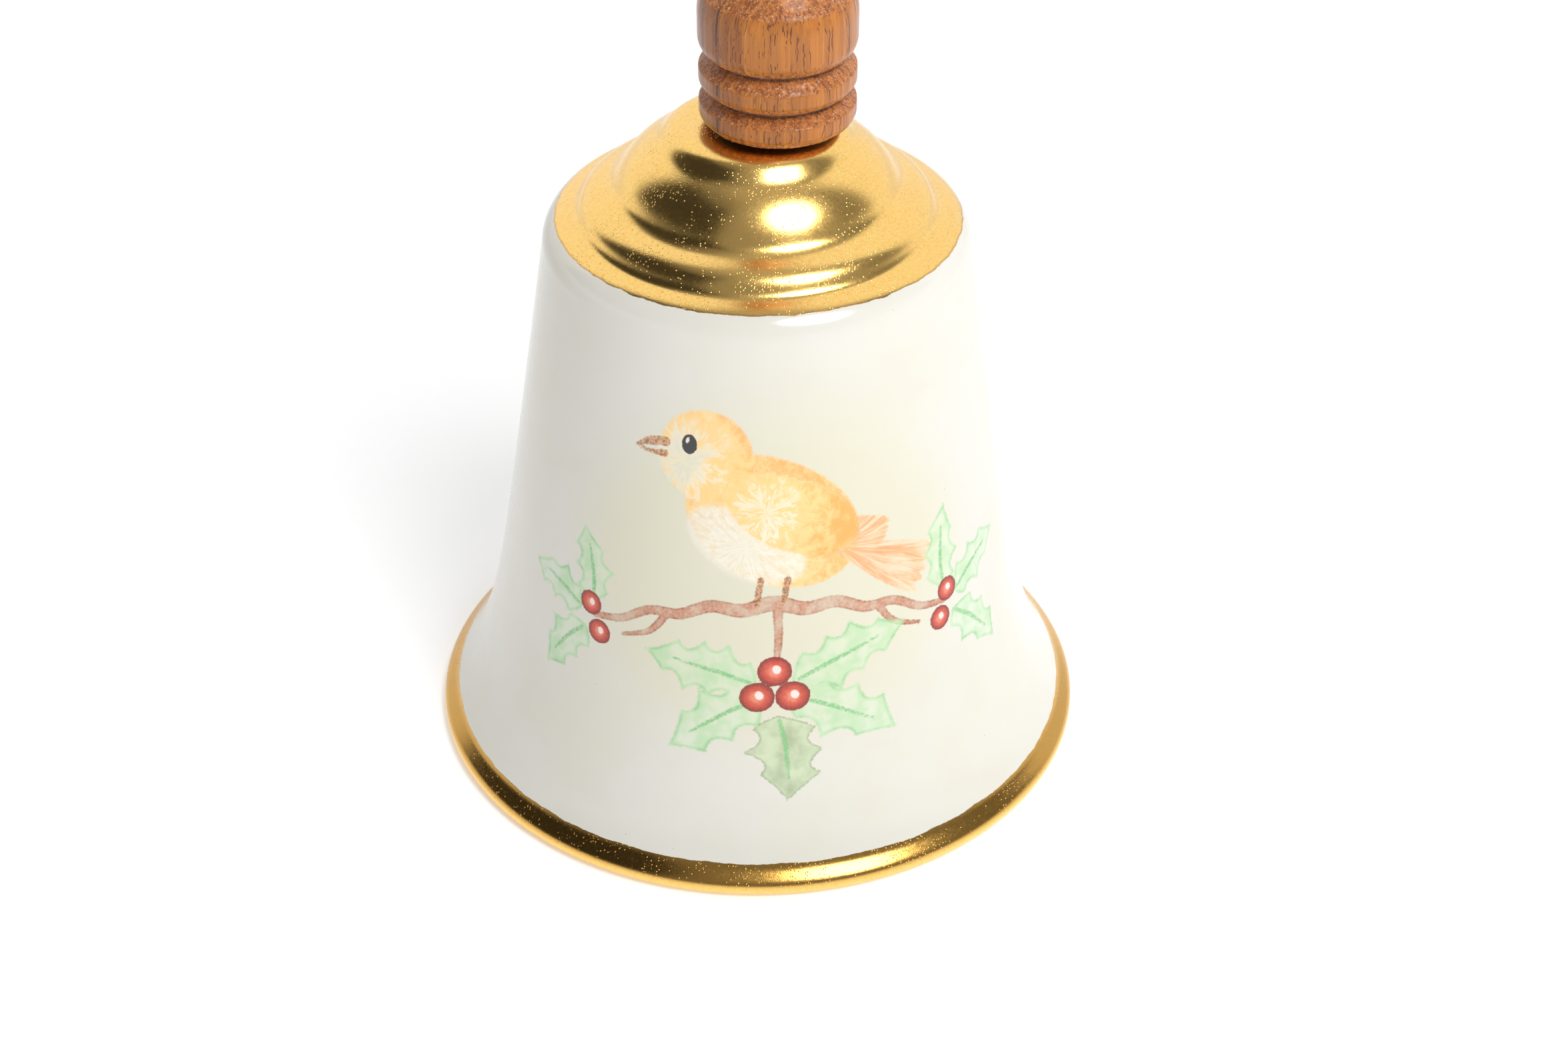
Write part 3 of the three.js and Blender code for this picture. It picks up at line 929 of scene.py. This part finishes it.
def porcelain_material():
    finish = Finish("gilt_porcelain")
    where = finish.place
    paint = painted_colour(finish, glaze_colour(finish))
    porcelain = finish.mix(finish.value("outside"), GLAZE_WARM, paint)
    ragged = either_way(finish, finish.noise(where, 0.3, 4, 0.6), 0.7)
    depth = finish.plus(finish.value("gilding"), ragged)
    gilt = finish.step(depth, -0.06, 0.06)
    tone = finish.noise(where, 2.6, 3, 0.6)
    glaze_relief = finish.times(finish.noise(where, 0.12, 2, 0.5), 0.03)
    height = finish.blend(gilt, glaze_relief, gold_relief(finish))
    height = finish.plus(height, finish.times(gilt, 0.012))
    return finish.surface(
        base_color=finish.mix(gilt, porcelain, gold_colour(finish, depth, tone)),
        metallic=gilt,
        roughness=finish.blend(gilt, 0.14, finish.step(tone, 0.3, 0.75, 0.17, 0.25)),
        normal=finish.bump(height),
    )


# ---- Handle -------------------------------------------------------------------------------

HANDLE_BASE, HANDLE_TOP = handle_low[2], handle_high[2]
RING_FEET = (HANDLE_BASE, HANDLE_BASE + 4.6)
RING_FOOT_RADIUS, RING_RADIUS = 9.2, 10.1
RING_CHAMFER, RING_FACE, EDGE_BULGE = 1.2, 1.7, 0.15
GROOVE_RADIUS, GROOVE_DROP = 8.3, 0.55
BARREL_FOOT, BARREL_RADIUS, BARREL_TOP = 102.7, 10.15, 110.6
NECK_RADIUS, NECK_HEIGHT = 6.2, 117.6
BEAD_HEIGHT, BEAD_BULGE = 3, 1.5
GRIP_END = 173
KNOB_RADIUS = 8.9
PILOT_RADIUS, PILOT_DEPTH = 1.85, 22
HANDLE_COLUMNS = 240
WOOD_SOFTNESS = 0.12


def handle_outline():
    """The handle's outline from the pilot hole's end, out along the foot and up to the knob."""
    pilot_top = HANDLE_BASE + PILOT_DEPTH
    knob_centre = HANDLE_TOP - KNOB_RADIUS
    grip = spline([
        (NECK_RADIUS, NECK_HEIGHT + BEAD_HEIGHT), (8.3, 129.6), (9.5, 143.8), (8.5, 159.8),
        (NECK_RADIUS, GRIP_END),
    ], steps=30)
    parts = [[(0, pilot_top + PILOT_RADIUS), (PILOT_RADIUS, pilot_top), (PILOT_RADIUS, HANDLE_BASE)]]
    for foot, following in zip(RING_FEET, (RING_FEET[1], BARREL_FOOT)):
        face = foot + RING_CHAMFER
        parts.append(bulged((RING_FOOT_RADIUS, foot), (RING_RADIUS, face), EDGE_BULGE))
        parts.append([(RING_RADIUS, face + RING_FACE), (GROOVE_RADIUS, following - GROOVE_DROP)])
    parts += [
        bulged((RING_FOOT_RADIUS + 0.2, BARREL_FOOT), (BARREL_RADIUS, BARREL_FOOT + 1.7), EDGE_BULGE),
        bulged((BARREL_RADIUS, BARREL_FOOT + 4.5), (BARREL_RADIUS - 0.5, BARREL_TOP), EDGE_BULGE),
        bulged((BARREL_RADIUS - 1.15, BARREL_TOP + 0.5), (NECK_RADIUS, NECK_HEIGHT), -0.8),
        bulged((NECK_RADIUS, NECK_HEIGHT), (NECK_RADIUS, NECK_HEIGHT + BEAD_HEIGHT), BEAD_BULGE),
        grip,
        bulged((NECK_RADIUS, GRIP_END), (NECK_RADIUS, GRIP_END + BEAD_HEIGHT), BEAD_BULGE),
        arc((0, knob_centre), KNOB_RADIUS, -48, 90),
    ]
    return np.vstack(parts)


def handle_rows():
    """Rows of the handle's mesh: close together on the turned rings, further apart on the grip."""
    fine = softened(handle_outline(), WOOD_SOFTNESS, False)
    height = fine[:, 1]
    spacing = np.where(height < BARREL_FOOT + 2, 0.22, 0.5)
    spacing = np.where(height > NECK_HEIGHT + BEAD_HEIGHT, 0.9, spacing)
    spacing = np.where(fine[:, 0] < PILOT_RADIUS + 0.3, 1.5, spacing)
    rows = thinned(fine, spacing, False)
    rows[0, 0] = rows[-1, 0] = 0
    return rows


def torn_grain(radius, angle, height):
    """Small dents and lifted fibres where the tool cut across the end grain, and the faint
    facets that sanding leaves. Everything stays inside the turned outline."""
    ripple = np.sin(37 * angle + 1.7 * height) * np.sin(23 * angle - 2.3 * height + 1.0)
    coarse = np.sin(9 * angle + 0.8 * height + 2.0) * np.sin(5 * angle - 0.31 * height)
    low = height < BARREL_FOOT + 0.5
    cut_edge = low & (radius < RING_RADIUS - 0.05) & (radius > GROOVE_RADIUS - 0.2)
    depth = np.where(cut_edge, 0.05 * (1 + ripple), 0.008 * (1 + ripple))
    depth = depth + 0.02 * (1 + coarse)
    return np.where(radius > PILOT_RADIUS + 1, radius - depth, radius), height


def make_handle(material):
    rows = handle_rows()
    vertices, faces = turned(rows, HANDLE_COLUMNS, spindle_x, False, torn_grain)
    piece = mesh_piece("oak_handle", vertices, faces, "bell", "handle", material)
    reach = np.hypot(vertices[:, 0] - spindle_x, vertices[:, 1])
    low = vertices[:, 2] < BARREL_FOOT + 0.6
    # How deep a place lies in the grooves between the rings, where the material paints shade and dirt.
    groove_shade_and_dirt = np.clip((RING_RADIUS - 0.3 - reach) / (RING_RADIUS - 0.3 - GROOVE_RADIUS), 0, 1)
    add_values(piece, "groove_shade_and_dirt", np.where(low, groove_shade_and_dirt, 0))
    return piece


OAK_LIGHT, OAK_MID, OAK_DARK = rgb(194, 120, 34), rgb(168, 94, 24), rgb(112, 58, 20)
# The split colour also darkens the grooves between the rings, as painted shade and dirt.
OAK_PORE, OAK_SPLIT_AND_SHADE = rgb(92, 40, 14), rgb(58, 28, 14)
OAK_TORN, OAK_TORN_DARK = rgb(208, 128, 60), rgb(138, 72, 30)
# The pale fleck colour stands for lifted fibres on torn end grain and is partly painted glints.
OAK_FLECK_AND_GLINT, OAK_LINE = rgb(224, 190, 160), rgb(224, 150, 70)
RING_SPACING = 3.6
PITH = (-1.0, 13.0, 0.0)
# The second angle is the middle of a broad darker band down the left side: painted shade away from the
# key light.
SPLIT_ANGLE, SHADED_SIDE_ANGLE = -0.855, -1.0


def oak_rings(finish, where):
    """How much earlywood there is at a place, and how near it is to a growth ring's edge."""
    drift = finish.grain(where, (0.16, 0.16, 0.02), 2)
    reach = finish.length(finish.scaled(finish.shifted(where, PITH), (1, 1, 0)))
    rings = finish.times(finish.plus(reach, finish.times(drift, 1.5)), 1 / RING_SPACING)
    place = finish.math("FRACT", rings)
    early = finish.times(finish.step(place, 0.0, 0.08), finish.step(place, 0.5, 0.25))
    edge = finish.times(finish.step(place, 0.86, 0.93), finish.step(place, 1.0, 0.95))
    return early, edge


def oak_lines(finish, where, early):
    """Thin, wavy, broken pore lines along the grain, one long split down the left side, and a broad
    darker band beside it, painted shade on the side away from the key light."""
    wander = finish.times(finish.grain(where, (0.5, 0.5, 0.35), 2, 0.6), 0.9)
    wavy = finish.shifted(where, finish.combine(wander, wander, 0.0))
    fine = finish.grain(wavy, (4.6, 4.6, 0.13), 1)
    pore = finish.step(finish.minus(fine, finish.blend(early, 0.66, 0.61)), 0.0, 0.035)
    x, y = finish.separate(wavy)[:2]
    angle = finish.math("ARCTAN2", x, finish.times(y, -1.0))
    from_split, from_shaded_side = (
        finish.math("ABSOLUTE", finish.minus(angle, middle)) for middle in (SPLIT_ANGLE, SHADED_SIDE_ANGLE)
    )
    broken = finish.step(finish.grain(where, (0.3, 0.3, 0.4), 2), 0.38, 0.46)
    split = finish.times(finish.step(from_split, 0.022, 0.008), broken)
    return pore, split, finish.step(from_shaded_side, 0.7, 0.15)


def torn_oak(finish, where, tear, edge):
    """The colour of torn end grain, with pale flecks of lifted fibre that are partly painted glints."""
    flecks = finish.noise(where, 3.4, 2, 0.6)
    torn = finish.mix(finish.step(tear, 0.35, 0.65), OAK_TORN, OAK_TORN_DARK)
    # Pale flecks: lifted fibres, partly painted glints.
    torn = finish.mix(finish.step(flecks, 0.58, 0.68, 0.0, 0.8), torn, OAK_FLECK_AND_GLINT)
    return finish.mix(finish.times(edge, finish.step(tear, 0.4, 0.6, 0.1, 0.6)), torn, OAK_LINE)


def oak_material():
    """Flat-sawn oak under varnish: growth rings, long pores, and torn end grain on the shelves,
    with painted shade and dirt in the grooves and painted shade down the left side.
    """
    finish = Finish("varnished_oak")
    where = finish.shifted(finish.place, (-spindle_x, 0, 0))
    early, edge = oak_rings(finish, where)
    pore, split, shaded_side = oak_lines(finish, where, early)
    fibre = finish.grain(where, (2.2, 2.2, 0.05), 3, 0.6)
    fine_fibre = finish.grain(where, (8.0, 8.0, 0.3), 2, 0.6)
    streak = finish.grain(where, (0.45, 0.45, 0.02), 2)
    tear = finish.noise(finish.scaled(where, (1.0, 1.0, 0.5)), 1.9, 4, 0.65, 0.6)
    facing = finish.add("NewGeometry", {}).outputs["Normal"]
    end_grain = finish.step(finish.math("ABSOLUTE", finish.separate(facing)[2]), 0.3, 0.6)

    colour = finish.mix(finish.step(fibre, 0.3, 0.75), OAK_LIGHT, OAK_MID)
    for share, tint in (
        (finish.times(early, 0.25), OAK_DARK),
        (finish.step(streak, 0.5, 0.72, 0.0, 0.4), OAK_DARK),
        (finish.step(fine_fibre, 0.55, 0.8, 0.0, 0.25), OAK_DARK),
        # Painted shade down the left side, away from the key light.
        (finish.times(shaded_side, 0.45), OAK_DARK),
        (finish.times(edge, 0.18), OAK_LINE),
        (finish.times(pore, 0.8), OAK_PORE),
        (finish.times(split, 0.9), OAK_SPLIT_AND_SHADE),
        (finish.times(end_grain, 0.85), torn_oak(finish, where, tear, edge)),
        # Painted shade and dirt in the grooves between the rings.
        (finish.step(finish.value("groove_shade_and_dirt"), 0.78, 1.0, 0.0, 0.85), OAK_SPLIT_AND_SHADE),
    ):
        colour = finish.mix(share, colour, tint)

    torn_relief = finish.times(tear, end_grain)
    height = finish.relief(
        (pore, -0.05), (split, -0.12), (fibre, 0.02), (fine_fibre, 0.012), (torn_relief, 0.3)
    )
    roughness = finish.plus(finish.step(fibre, 0.3, 0.7, 0.28, 0.4), finish.times(end_grain, 0.2))
    return finish.surface(
        base_color=colour, roughness=roughness, normal=finish.bump(height),
        coat_weight=0.22, coat_roughness=0.16,
    )


# ---- Washers ------------------------------------------------------------------------------


def make_washer(name, node, body, inner, edge, columns, material):
    """A flat ring with eased edges, the size of its CAD node."""
    low, high = box_mm(node)
    outer = (high[0] - low[0]) / 2
    foot, top = low[2], high[2]
    loop = [(inner, foot), (outer, foot), (outer, top), (inner, top)]
    fine = softened(loop, edge, True)
    rows = thinned(fine, np.full(len(fine), 0.18), True)
    vertices, faces = turned(rows, columns, (low[0] + high[0]) / 2)
    return mesh_piece(name, vertices, faces, body, node, material)


LEATHER_LIGHT, LEATHER_DARK = rgb(104, 66, 40), rgb(70, 42, 26)
FELT_LIGHT, FELT_MID, FELT_DARK = rgb(226, 218, 198), rgb(188, 178, 154), rgb(170, 158, 134)
ZINC_LIGHT, ZINC_DARK = rgb(206, 208, 210), rgb(168, 172, 178)


def leather_material():
    finish = Finish("vegetable_leather")
    pebble = finish.cells(finish.place, 2.2)[0]
    tone = finish.noise(finish.place, 0.6, 3, 0.6)
    return finish.surface(
        base_color=finish.mix(finish.step(tone, 0.3, 0.7), LEATHER_LIGHT, LEATHER_DARK),
        roughness=finish.step(tone, 0.3, 0.7, 0.55, 0.8),
        normal=finish.bump(finish.relief((pebble, 0.06), (tone, 0.05))),
    )


def felt_material():
    finish = Finish("pressed_felt")
    fibres = finish.grain(finish.place, (5, 5, 9), 4, 0.75, 2.5)
    cloud = finish.noise(finish.place, 0.5, 3, 0.6)
    colour = finish.mix(finish.step(fibres, 0.3, 0.7), FELT_LIGHT, FELT_MID)
    return finish.surface(
        base_color=finish.mix(finish.step(cloud, 0.5, 0.8, 0.0, 0.4), colour, FELT_DARK),
        roughness=finish.step(fibres, 0.2, 0.8, 0.85, 1.0),
        normal=finish.bump(finish.relief((fibres, 0.12), (cloud, 0.1))),
        sheen_weight=0.3, sheen_roughness=0.5,
    )


def steel_material():
    """Zinc-plated steel, stamped flat and rolled, with faint turning marks."""
    finish = Finish("zinc_steel")
    where = finish.shifted(finish.place, (-spindle_x, 0, 0))
    reach = finish.length(finish.scaled(where, (1, 1, 0)))
    rings = finish.noise(finish.combine(finish.times(reach, 9), 0.0, 0.0), 1.0, 3, 0.7)
    spangle = finish.separate(finish.cells(where, 0.7)[1])
    worn = finish.step(rings, 0.2, 0.8, 0.24, 0.38)
    return finish.surface(
        base_color=finish.mix(finish.times(spangle[0], 0.5), ZINC_LIGHT, ZINC_DARK),
        metallic=1.0,
        roughness=finish.plus(worn, finish.times(spangle[1], 0.1)),
        normal=finish.bump(finish.times(rings, 0.006)),
    )


# ---- Brass wire: screw eye, links and clapper pin -------------------------------------------

LINK_WIRE, EYE_WIRE, PIN_EYE_WIRE, PIN_RADIUS = 0.6, 1.1, 0.8, 0.9
SCREW_CORE, SCREW_CREST, THREAD_PITCH = 1.1, 1.5, 1.7
PLAIN_SHANK_TOP = HANDLE_BASE + 1
SCREW_TIP = 3
# The riveted head: heights above its foot and the radius there.
RIVET_HEAD = [(0.9, 1.0), (0.72, 1.55), (0.45, 1.68), (0.2, 1.5), (0.06, 1.1), (0.02, 0.4)]
WIRE_SIDES = 20


BRASS_LIGHT, BRASS_MID, BRASS_DARK = rgb(226, 184, 106), rgb(176, 128, 62), rgb(104, 70, 36)


def brass_material():
    finish = Finish("aged_brass")
    tarnish = finish.noise(finish.place, 0.45, 4, 0.65)
    draw = finish.grain(finish.place, (6, 6, 0.8), 3, 0.6)
    nick = finish.step(finish.noise(finish.place, 3.0, 3, 0.6), 0.66, 0.8)
    colour = finish.mix(finish.step(tarnish, 0.42, 0.62), BRASS_LIGHT, BRASS_MID)
    return finish.surface(
        base_color=finish.mix(finish.step(tarnish, 0.62, 0.8, 0.0, 0.7), colour, BRASS_DARK),
        metallic=1.0,
        roughness=finish.plus(finish.step(tarnish, 0.4, 0.7, 0.2, 0.42), finish.times(draw, 0.08)),
        normal=finish.bump(finish.relief((draw, 0.012), (nick, -0.02))),
    )


def link_path(width, length, steps=56):
    """Points round an oval link standing on end, as [across, height] about its middle."""
    bend = width / 2
    straight = length - width
    top = arc((0, straight / 2), bend, 0, 180, steps // 2)
    bottom = arc((0, -straight / 2), bend, 180, 360, steps // 2)
    return evenly(np.vstack([top, bottom]), 0.25, True)


def make_link(number, material):
    """One chain link, bent from wire, with its ends meeting in a filed butt joint on one side."""
    node = f"chain_link_{number}"
    low, high = box_mm(node)
    middle, size = (low + high) / 2, high - low
    lies_across = size[0] > size[1]
    width = max(size[0], size[1]) - 2 * LINK_WIRE
    outline = link_path(width, size[2] - 2 * LINK_WIRE)
    path = np.zeros((len(outline), 3))
    path[:, 0 if lies_across else 1] = outline[:, 0]
    path[:, 2] = outline[:, 1]
    seam = np.abs(outline[:, 1]) + np.where(outline[:, 0] > 0, 0, 9)
    radius = LINK_WIRE * (1 - 0.12 * np.exp(-((seam / 0.16) ** 2)))
    upright = (0, 1, 0) if lies_across else (1, 0, 0)
    vertices, faces = swept(path + middle, radius, WIRE_SIDES, upright, True)
    return mesh_piece(f"brass_link_{number}", vertices, faces, f"link_{number}", node, material)


def rounded_end(path, radius, at_start, steps=5):
    """Adds a domed end to a wire: points that run on by the wire's radius as it closes in."""
    tip, neighbour = (path[0], path[1]) if at_start else (path[-1], path[-2])
    reach = radius[0] if at_start else radius[-1]
    outward = (tip - neighbour) / np.linalg.norm(tip - neighbour)
    turn = np.linspace(0, math.radians(84), steps + 1)[1:]
    extra = tip + (reach * np.sin(turn))[:, None] * outward
    size = reach * np.cos(turn)
    if at_start:
        return np.vstack([extra[::-1], path]), np.concatenate([size[::-1], radius])
    return np.vstack([path, extra]), np.concatenate([radius, size])


def on_spindle(line):
    """A wire's middle line, given as [across, height], in the plane through the spindle."""
    return np.column_stack([line[:, 0] + spindle_x, np.zeros(len(line)), line[:, 1]])


def screw_eye_path(centre_height, eye_radius, neck, top):
    """The wire's middle line as [across, height]: round the eye, then up the shank."""
    loop = arc((0, centre_height), eye_radius, 62, -244, 90)
    turn_in = spline([loop[-1], (-0.62, neck - 0.35), (-0.08, neck + 0.5), (0, neck + 1.4)], steps=10)
    shank = [(0, height) for height in np.arange(neck + 1.6, top, 0.085)]
    return np.vstack([loop, turn_in[1:], shank])


def make_screw_eye(material):
    """A wood screw whose end is bent into an eye, with a cut thread."""
    low, high = box_mm("screw_eye")
    eye_radius = (high[0] - low[0]) / 2 - EYE_WIRE
    centre_height = low[2] + eye_radius + EYE_WIRE
    neck = centre_height + eye_radius
    line = screw_eye_path(centre_height, eye_radius, neck, high[2])
    path = on_spindle(line)
    height = path[:, 2]
    on_shank = np.clip((height - neck - 0.3) / 1.6, 0, 1)
    on_shank[: len(line) // 4] = 0
    radius = EYE_WIRE + (SCREW_CREST - EYE_WIRE) * on_shank
    path, radius = rounded_end(path, radius, True)
    turn = np.arange(WIRE_SIDES) / WIRE_SIDES
    height = path[:, 2][:, None]
    ridge = 1 - np.abs(2 * ((height / THREAD_PITCH - turn) % 1) - 1)
    threaded = SCREW_CORE + (SCREW_CREST - SCREW_CORE) * np.clip(ridge * 1.6 - 0.3, 0, 1)
    taper = np.clip((high[2] - height) / SCREW_TIP, 0.02, 1)
    both = np.where(height > PLAIN_SHANK_TOP, threaded * taper, radius[:, None])
    vertices, faces = swept(path, both, WIRE_SIDES, (0, 1, 0), False)
    return mesh_piece("brass_screw_eye", vertices, faces, "bell", "screw_eye", material)


def make_clapper_pin(material):
    """A brass pin with an eye bent at its top and a riveted head under the ball."""
    low, high = box_mm("clapper_pin")
    eye_radius = (high[0] - low[0]) / 2 - PIN_EYE_WIRE
    centre_height = high[2] - eye_radius - PIN_EYE_WIRE
    foot = centre_height - eye_radius
    loop = arc((0, centre_height), eye_radius, -62, 244, 80)
    turn_down = spline([loop[-1], (-0.55, foot + 0.2), (-0.06, foot - 0.6), (0, foot - 1.4)], steps=10)
    shaft = [(0, height) for height in np.arange(foot - 1.7, low[2] + 1.2, -0.3)]
    line = np.vstack([loop, turn_down[1:], shaft])
    radius = np.where(line[:, 1] > foot - 0.4, PIN_EYE_WIRE, PIN_RADIUS)
    rise, head_radius = np.array(RIVET_HEAD).T
    line = np.vstack([line, np.column_stack([np.zeros(len(rise)), low[2] + rise])])
    radius = np.concatenate([radius, head_radius])
    path = on_spindle(line)
    path, radius = rounded_end(path, radius, True)
    vertices, faces = swept(path, radius, WIRE_SIDES, (0, 1, 0), False)
    return mesh_piece("brass_clapper_pin", vertices, faces, "clapper", "clapper_pin", material)


# ---- Clapper ball ---------------------------------------------------------------------------

BALL_BORE, BALL_FLAT = 1.25, 2.6
BEECH_LIGHT, BEECH_MID = rgb(222, 182, 136), rgb(202, 156, 108)
BEECH_FIBRE, BEECH_FLECK = rgb(186, 138, 92), rgb(146, 98, 62)


def turning_marks(radius, angle, height):
    """Faint rings that the lathe tool left, cut into the ball."""
    marks = 0.012 * (1 + np.sin(height * 9.0)) + 0.01 * (1 + np.sin(3 * angle + height))
    return np.where(radius > BALL_FLAT, radius - marks, radius), height


def make_ball(material):
    low, high = box_mm("clapper_ball")
    radius = (high[0] - low[0]) / 2
    centre = (low[2] + high[2]) / 2
    half_height = (high[2] - low[2]) / 2
    flat_angle = math.degrees(math.acos(BALL_FLAT / radius))
    outline = np.vstack([
        [(BALL_BORE, centre - half_height)],
        arc((0, centre), radius, -flat_angle, flat_angle, 60),
        [(BALL_BORE, centre + half_height)],
    ])
    fine = softened(outline, 0.1, True)
    rows = thinned(fine, np.full(len(fine), 0.3), True)
    vertices, faces = turned(rows, 96, spindle_x, True, turning_marks)
    return mesh_piece("beech_ball", vertices, faces, "clapper", "clapper_ball", material)


def beech_material():
    """Beech: pale, with the short dark flecks of its rays and faint growth rings."""
    finish = Finish("oiled_beech")
    where = finish.shifted(finish.place, (-spindle_x, 0, 0))
    x, y = finish.separate(where)[:2]
    drift = finish.grain(where, (0.2, 0.2, 0.05), 2)
    depth = finish.plus(finish.plus(x, finish.times(y, 0.3)), finish.times(drift, 4))
    ring = finish.math("FRACT", finish.times(finish.plus(depth, 60), 1 / 2.2))
    fleck = finish.grain(where, (2.6, 9.0, 0.9), 2)
    fibre = finish.grain(where, (6.0, 6.0, 0.3), 3, 0.6)
    colour = finish.mix(finish.step(ring, 0.2, 0.95), BEECH_LIGHT, BEECH_MID)
    colour = finish.mix(finish.step(fibre, 0.4, 0.75, 0.0, 0.5), colour, BEECH_FIBRE)
    return finish.surface(
        base_color=finish.mix(finish.step(fleck, 0.63, 0.72, 0.0, 0.75), colour, BEECH_FLECK),
        roughness=finish.step(fibre, 0.3, 0.7, 0.38, 0.52),
        normal=finish.bump(finish.relief((fibre, 0.03), (fleck, 0.015))),
    )


# ---- Studio ---------------------------------------------------------------------------------

CAMERA_PLACE = (0.0, -0.30428, 0.24788)
CAMERA_PAN, CAMERA_PITCH, CAMERA_ROLL = 0.7, 35.732, 0.238
CAMERA_LENS, SENSOR_WIDTH = 60.75, 36
FLOOR_SIZE = 6.0
KEY_AZIMUTH, KEY_ELEVATION, KEY_DISTANCE = 38, 53, 0.62
KEY_ANGLE, KEY_POWER = 29, 2.7
FLOOR_GLOW = 0.3
BACKDROP = 1.2

# Brightness of the room, and of parts of it: brightness, azimuths, elevations, and how fast the
# lower elevation rises with azimuth. Later ones cover earlier ones.
ROOM_BRIGHT = 1.25
ROOM_PARTS = [
    (0.36, (-117, 106), (13, 90), 0.0),
    (0.50, (-180, 180), (76, 90), 0.0),
    (0.26, (-117, -34), (12, 74), 0.1),
    (0.05, (-117, -34), (15, 62), 0.13),
    (0.26, (74, 100), (22, 58), 0.0),
]
ROOM_EDGE = 7


def direction(azimuth, elevation):
    """A unit vector from azimuth, to the right of the camera's side, and elevation in degrees."""
    a, e = math.radians(azimuth), math.radians(elevation)
    return Vector((math.sin(a) * math.cos(e), -math.cos(a) * math.cos(e), math.sin(e)))


def make_camera():
    pan, pitch, roll = (math.radians(a) for a in (CAMERA_PAN, CAMERA_PITCH, CAMERA_ROLL))
    level_reach = math.cos(pitch)
    forward = Vector((math.sin(pan) * level_reach, math.cos(pan) * level_reach, -math.sin(pitch)))
    level = forward.cross(Vector((0, 0, 1))).normalized()
    above = level.cross(forward)
    right = math.cos(roll) * level + math.sin(roll) * above
    up = math.cos(roll) * above - math.sin(roll) * level
    camera = bpy.data.objects.new("camera", bpy.data.cameras.new("camera"))
    turned_to = Matrix((right, up, -forward)).transposed().to_4x4()
    camera.matrix_world = Matrix.Translation(CAMERA_PLACE) @ turned_to
    camera.data.lens, camera.data.sensor_width = CAMERA_LENS, SENSOR_WIDTH
    bpy.context.scene.collection.objects.link(camera)
    bpy.context.scene.camera = camera


def make_floor():
    """A sheet of white paper. It is clear from underneath, so that the clapper can be seen."""
    half = FLOOR_SIZE / 2
    mesh = bpy.data.meshes.new("floor")
    corners = [(-half, -half, 0), (half, -half, 0), (half, half, 0), (-half, half, 0)]
    mesh.from_pydata(corners, [], [(0, 1, 2, 3)])
    floor = bpy.data.objects.new("floor", mesh)
    bpy.context.scene.collection.objects.link(floor)
    finish = Finish("white_paper")
    tooth = finish.noise(finish.place, 0.6, 3, 0.6)
    colour = finish.mix(tooth, rgb(244, 244, 245), rgb(250, 250, 250))
    finish.shader.inputs["Emission Color"].default_value = (1, 1, 1, 1)
    mesh.materials.append(finish.surface(base_color=colour, roughness=0.7, emission_strength=FLOOR_GLOW))
    underneath = finish.add("NewGeometry", {}).outputs["Backfacing"]
    clear = finish.add("BsdfTransparent", {}).outputs[0]
    either = finish.add("MixShader", {0: underneath, 1: finish.shader.outputs[0], 2: clear}).outputs[0]
    finish.feed(finish.tree.nodes["Material Output"].inputs["Surface"], either)


def make_key_light():
    light = bpy.data.lights.new("softbox", "AREA")
    light.shape = "DISK"
    light.size = 2 * KEY_DISTANCE * math.tan(math.radians(KEY_ANGLE / 2))
    light.energy = KEY_POWER
    key = bpy.data.objects.new("softbox", light)
    aim = Vector((0, 0, 0.06))
    toward = direction(KEY_AZIMUTH, KEY_ELEVATION)
    key.location = aim + KEY_DISTANCE * toward
    key.rotation_mode = "QUATERNION"
    key.rotation_quaternion = toward.to_track_quat("Z", "Y")
    bpy.context.scene.collection.objects.link(key)


def within(nodes, value, low, high):
    """1 between low and high, fading to 0 over ROOM_EDGE about each of them."""
    edge = ROOM_EDGE / 2
    rise = nodes.step(nodes.minus(value, low), -edge, edge)
    return nodes.times(rise, nodes.step(value, high + edge, high - edge))


def make_room():
    """A bright studio with darker parts in front of the table, which the gilding reflects. The
    picture's backdrop is plain white."""
    world = bpy.data.worlds.new("studio")
    bpy.context.scene.world = world
    world.use_nodes = True
    world.node_tree.nodes.clear()
    nodes = Nodes(world.node_tree)
    x, y, z = nodes.separate(nodes.add("TexCoord", {}).outputs["Generated"])
    degrees = 180 / math.pi
    azimuth = nodes.times(nodes.math("ARCTAN2", x, nodes.times(y, -1.0)), degrees)
    elevation = nodes.times(nodes.math("ARCSINE", z), degrees)
    lit = ROOM_BRIGHT
    for brightness, azimuths, (low, high), slant in ROOM_PARTS:
        rise = nodes.times(nodes.minus(azimuth, azimuths[0]), slant)
        height = within(nodes, elevation, nodes.plus(rise, low), high)
        lit = nodes.blend(nodes.times(within(nodes, azimuth, *azimuths), height), lit, brightness)
    seen = nodes.add("LightPath", {}).outputs["Is Camera Ray"]
    background = nodes.add("Background", {"Strength": nodes.blend(seen, lit, BACKDROP)})
    nodes.add("OutputWorld", {0: background.outputs[0]})


# ---- The whole bell -------------------------------------------------------------------------

make_camera()
make_floor()
make_key_light()
make_room()
bpy.context.scene.view_settings.view_transform = "Standard"

make_shell(porcelain_material())
make_handle(oak_material())
make_washer("leather_disc", "leather_washer", "bell", 2.2, 0.1, 96, leather_material())
make_washer("felt_disc", "felt_washer", "bell", 2.2, 0.3, 96, felt_material())
make_washer("steel_disc", "clamp_washer", "bell", 1.9, 0.12, 96, steel_material())
brass = brass_material()
make_screw_eye(brass)
for link_number in (1, 2, 3):
    make_link(link_number, brass)
make_clapper_pin(brass)
make_ball(beech_material())
make_washer("brass_disc", "clapper_washer", "clapper", 1.2, 0.08, 48, brass)
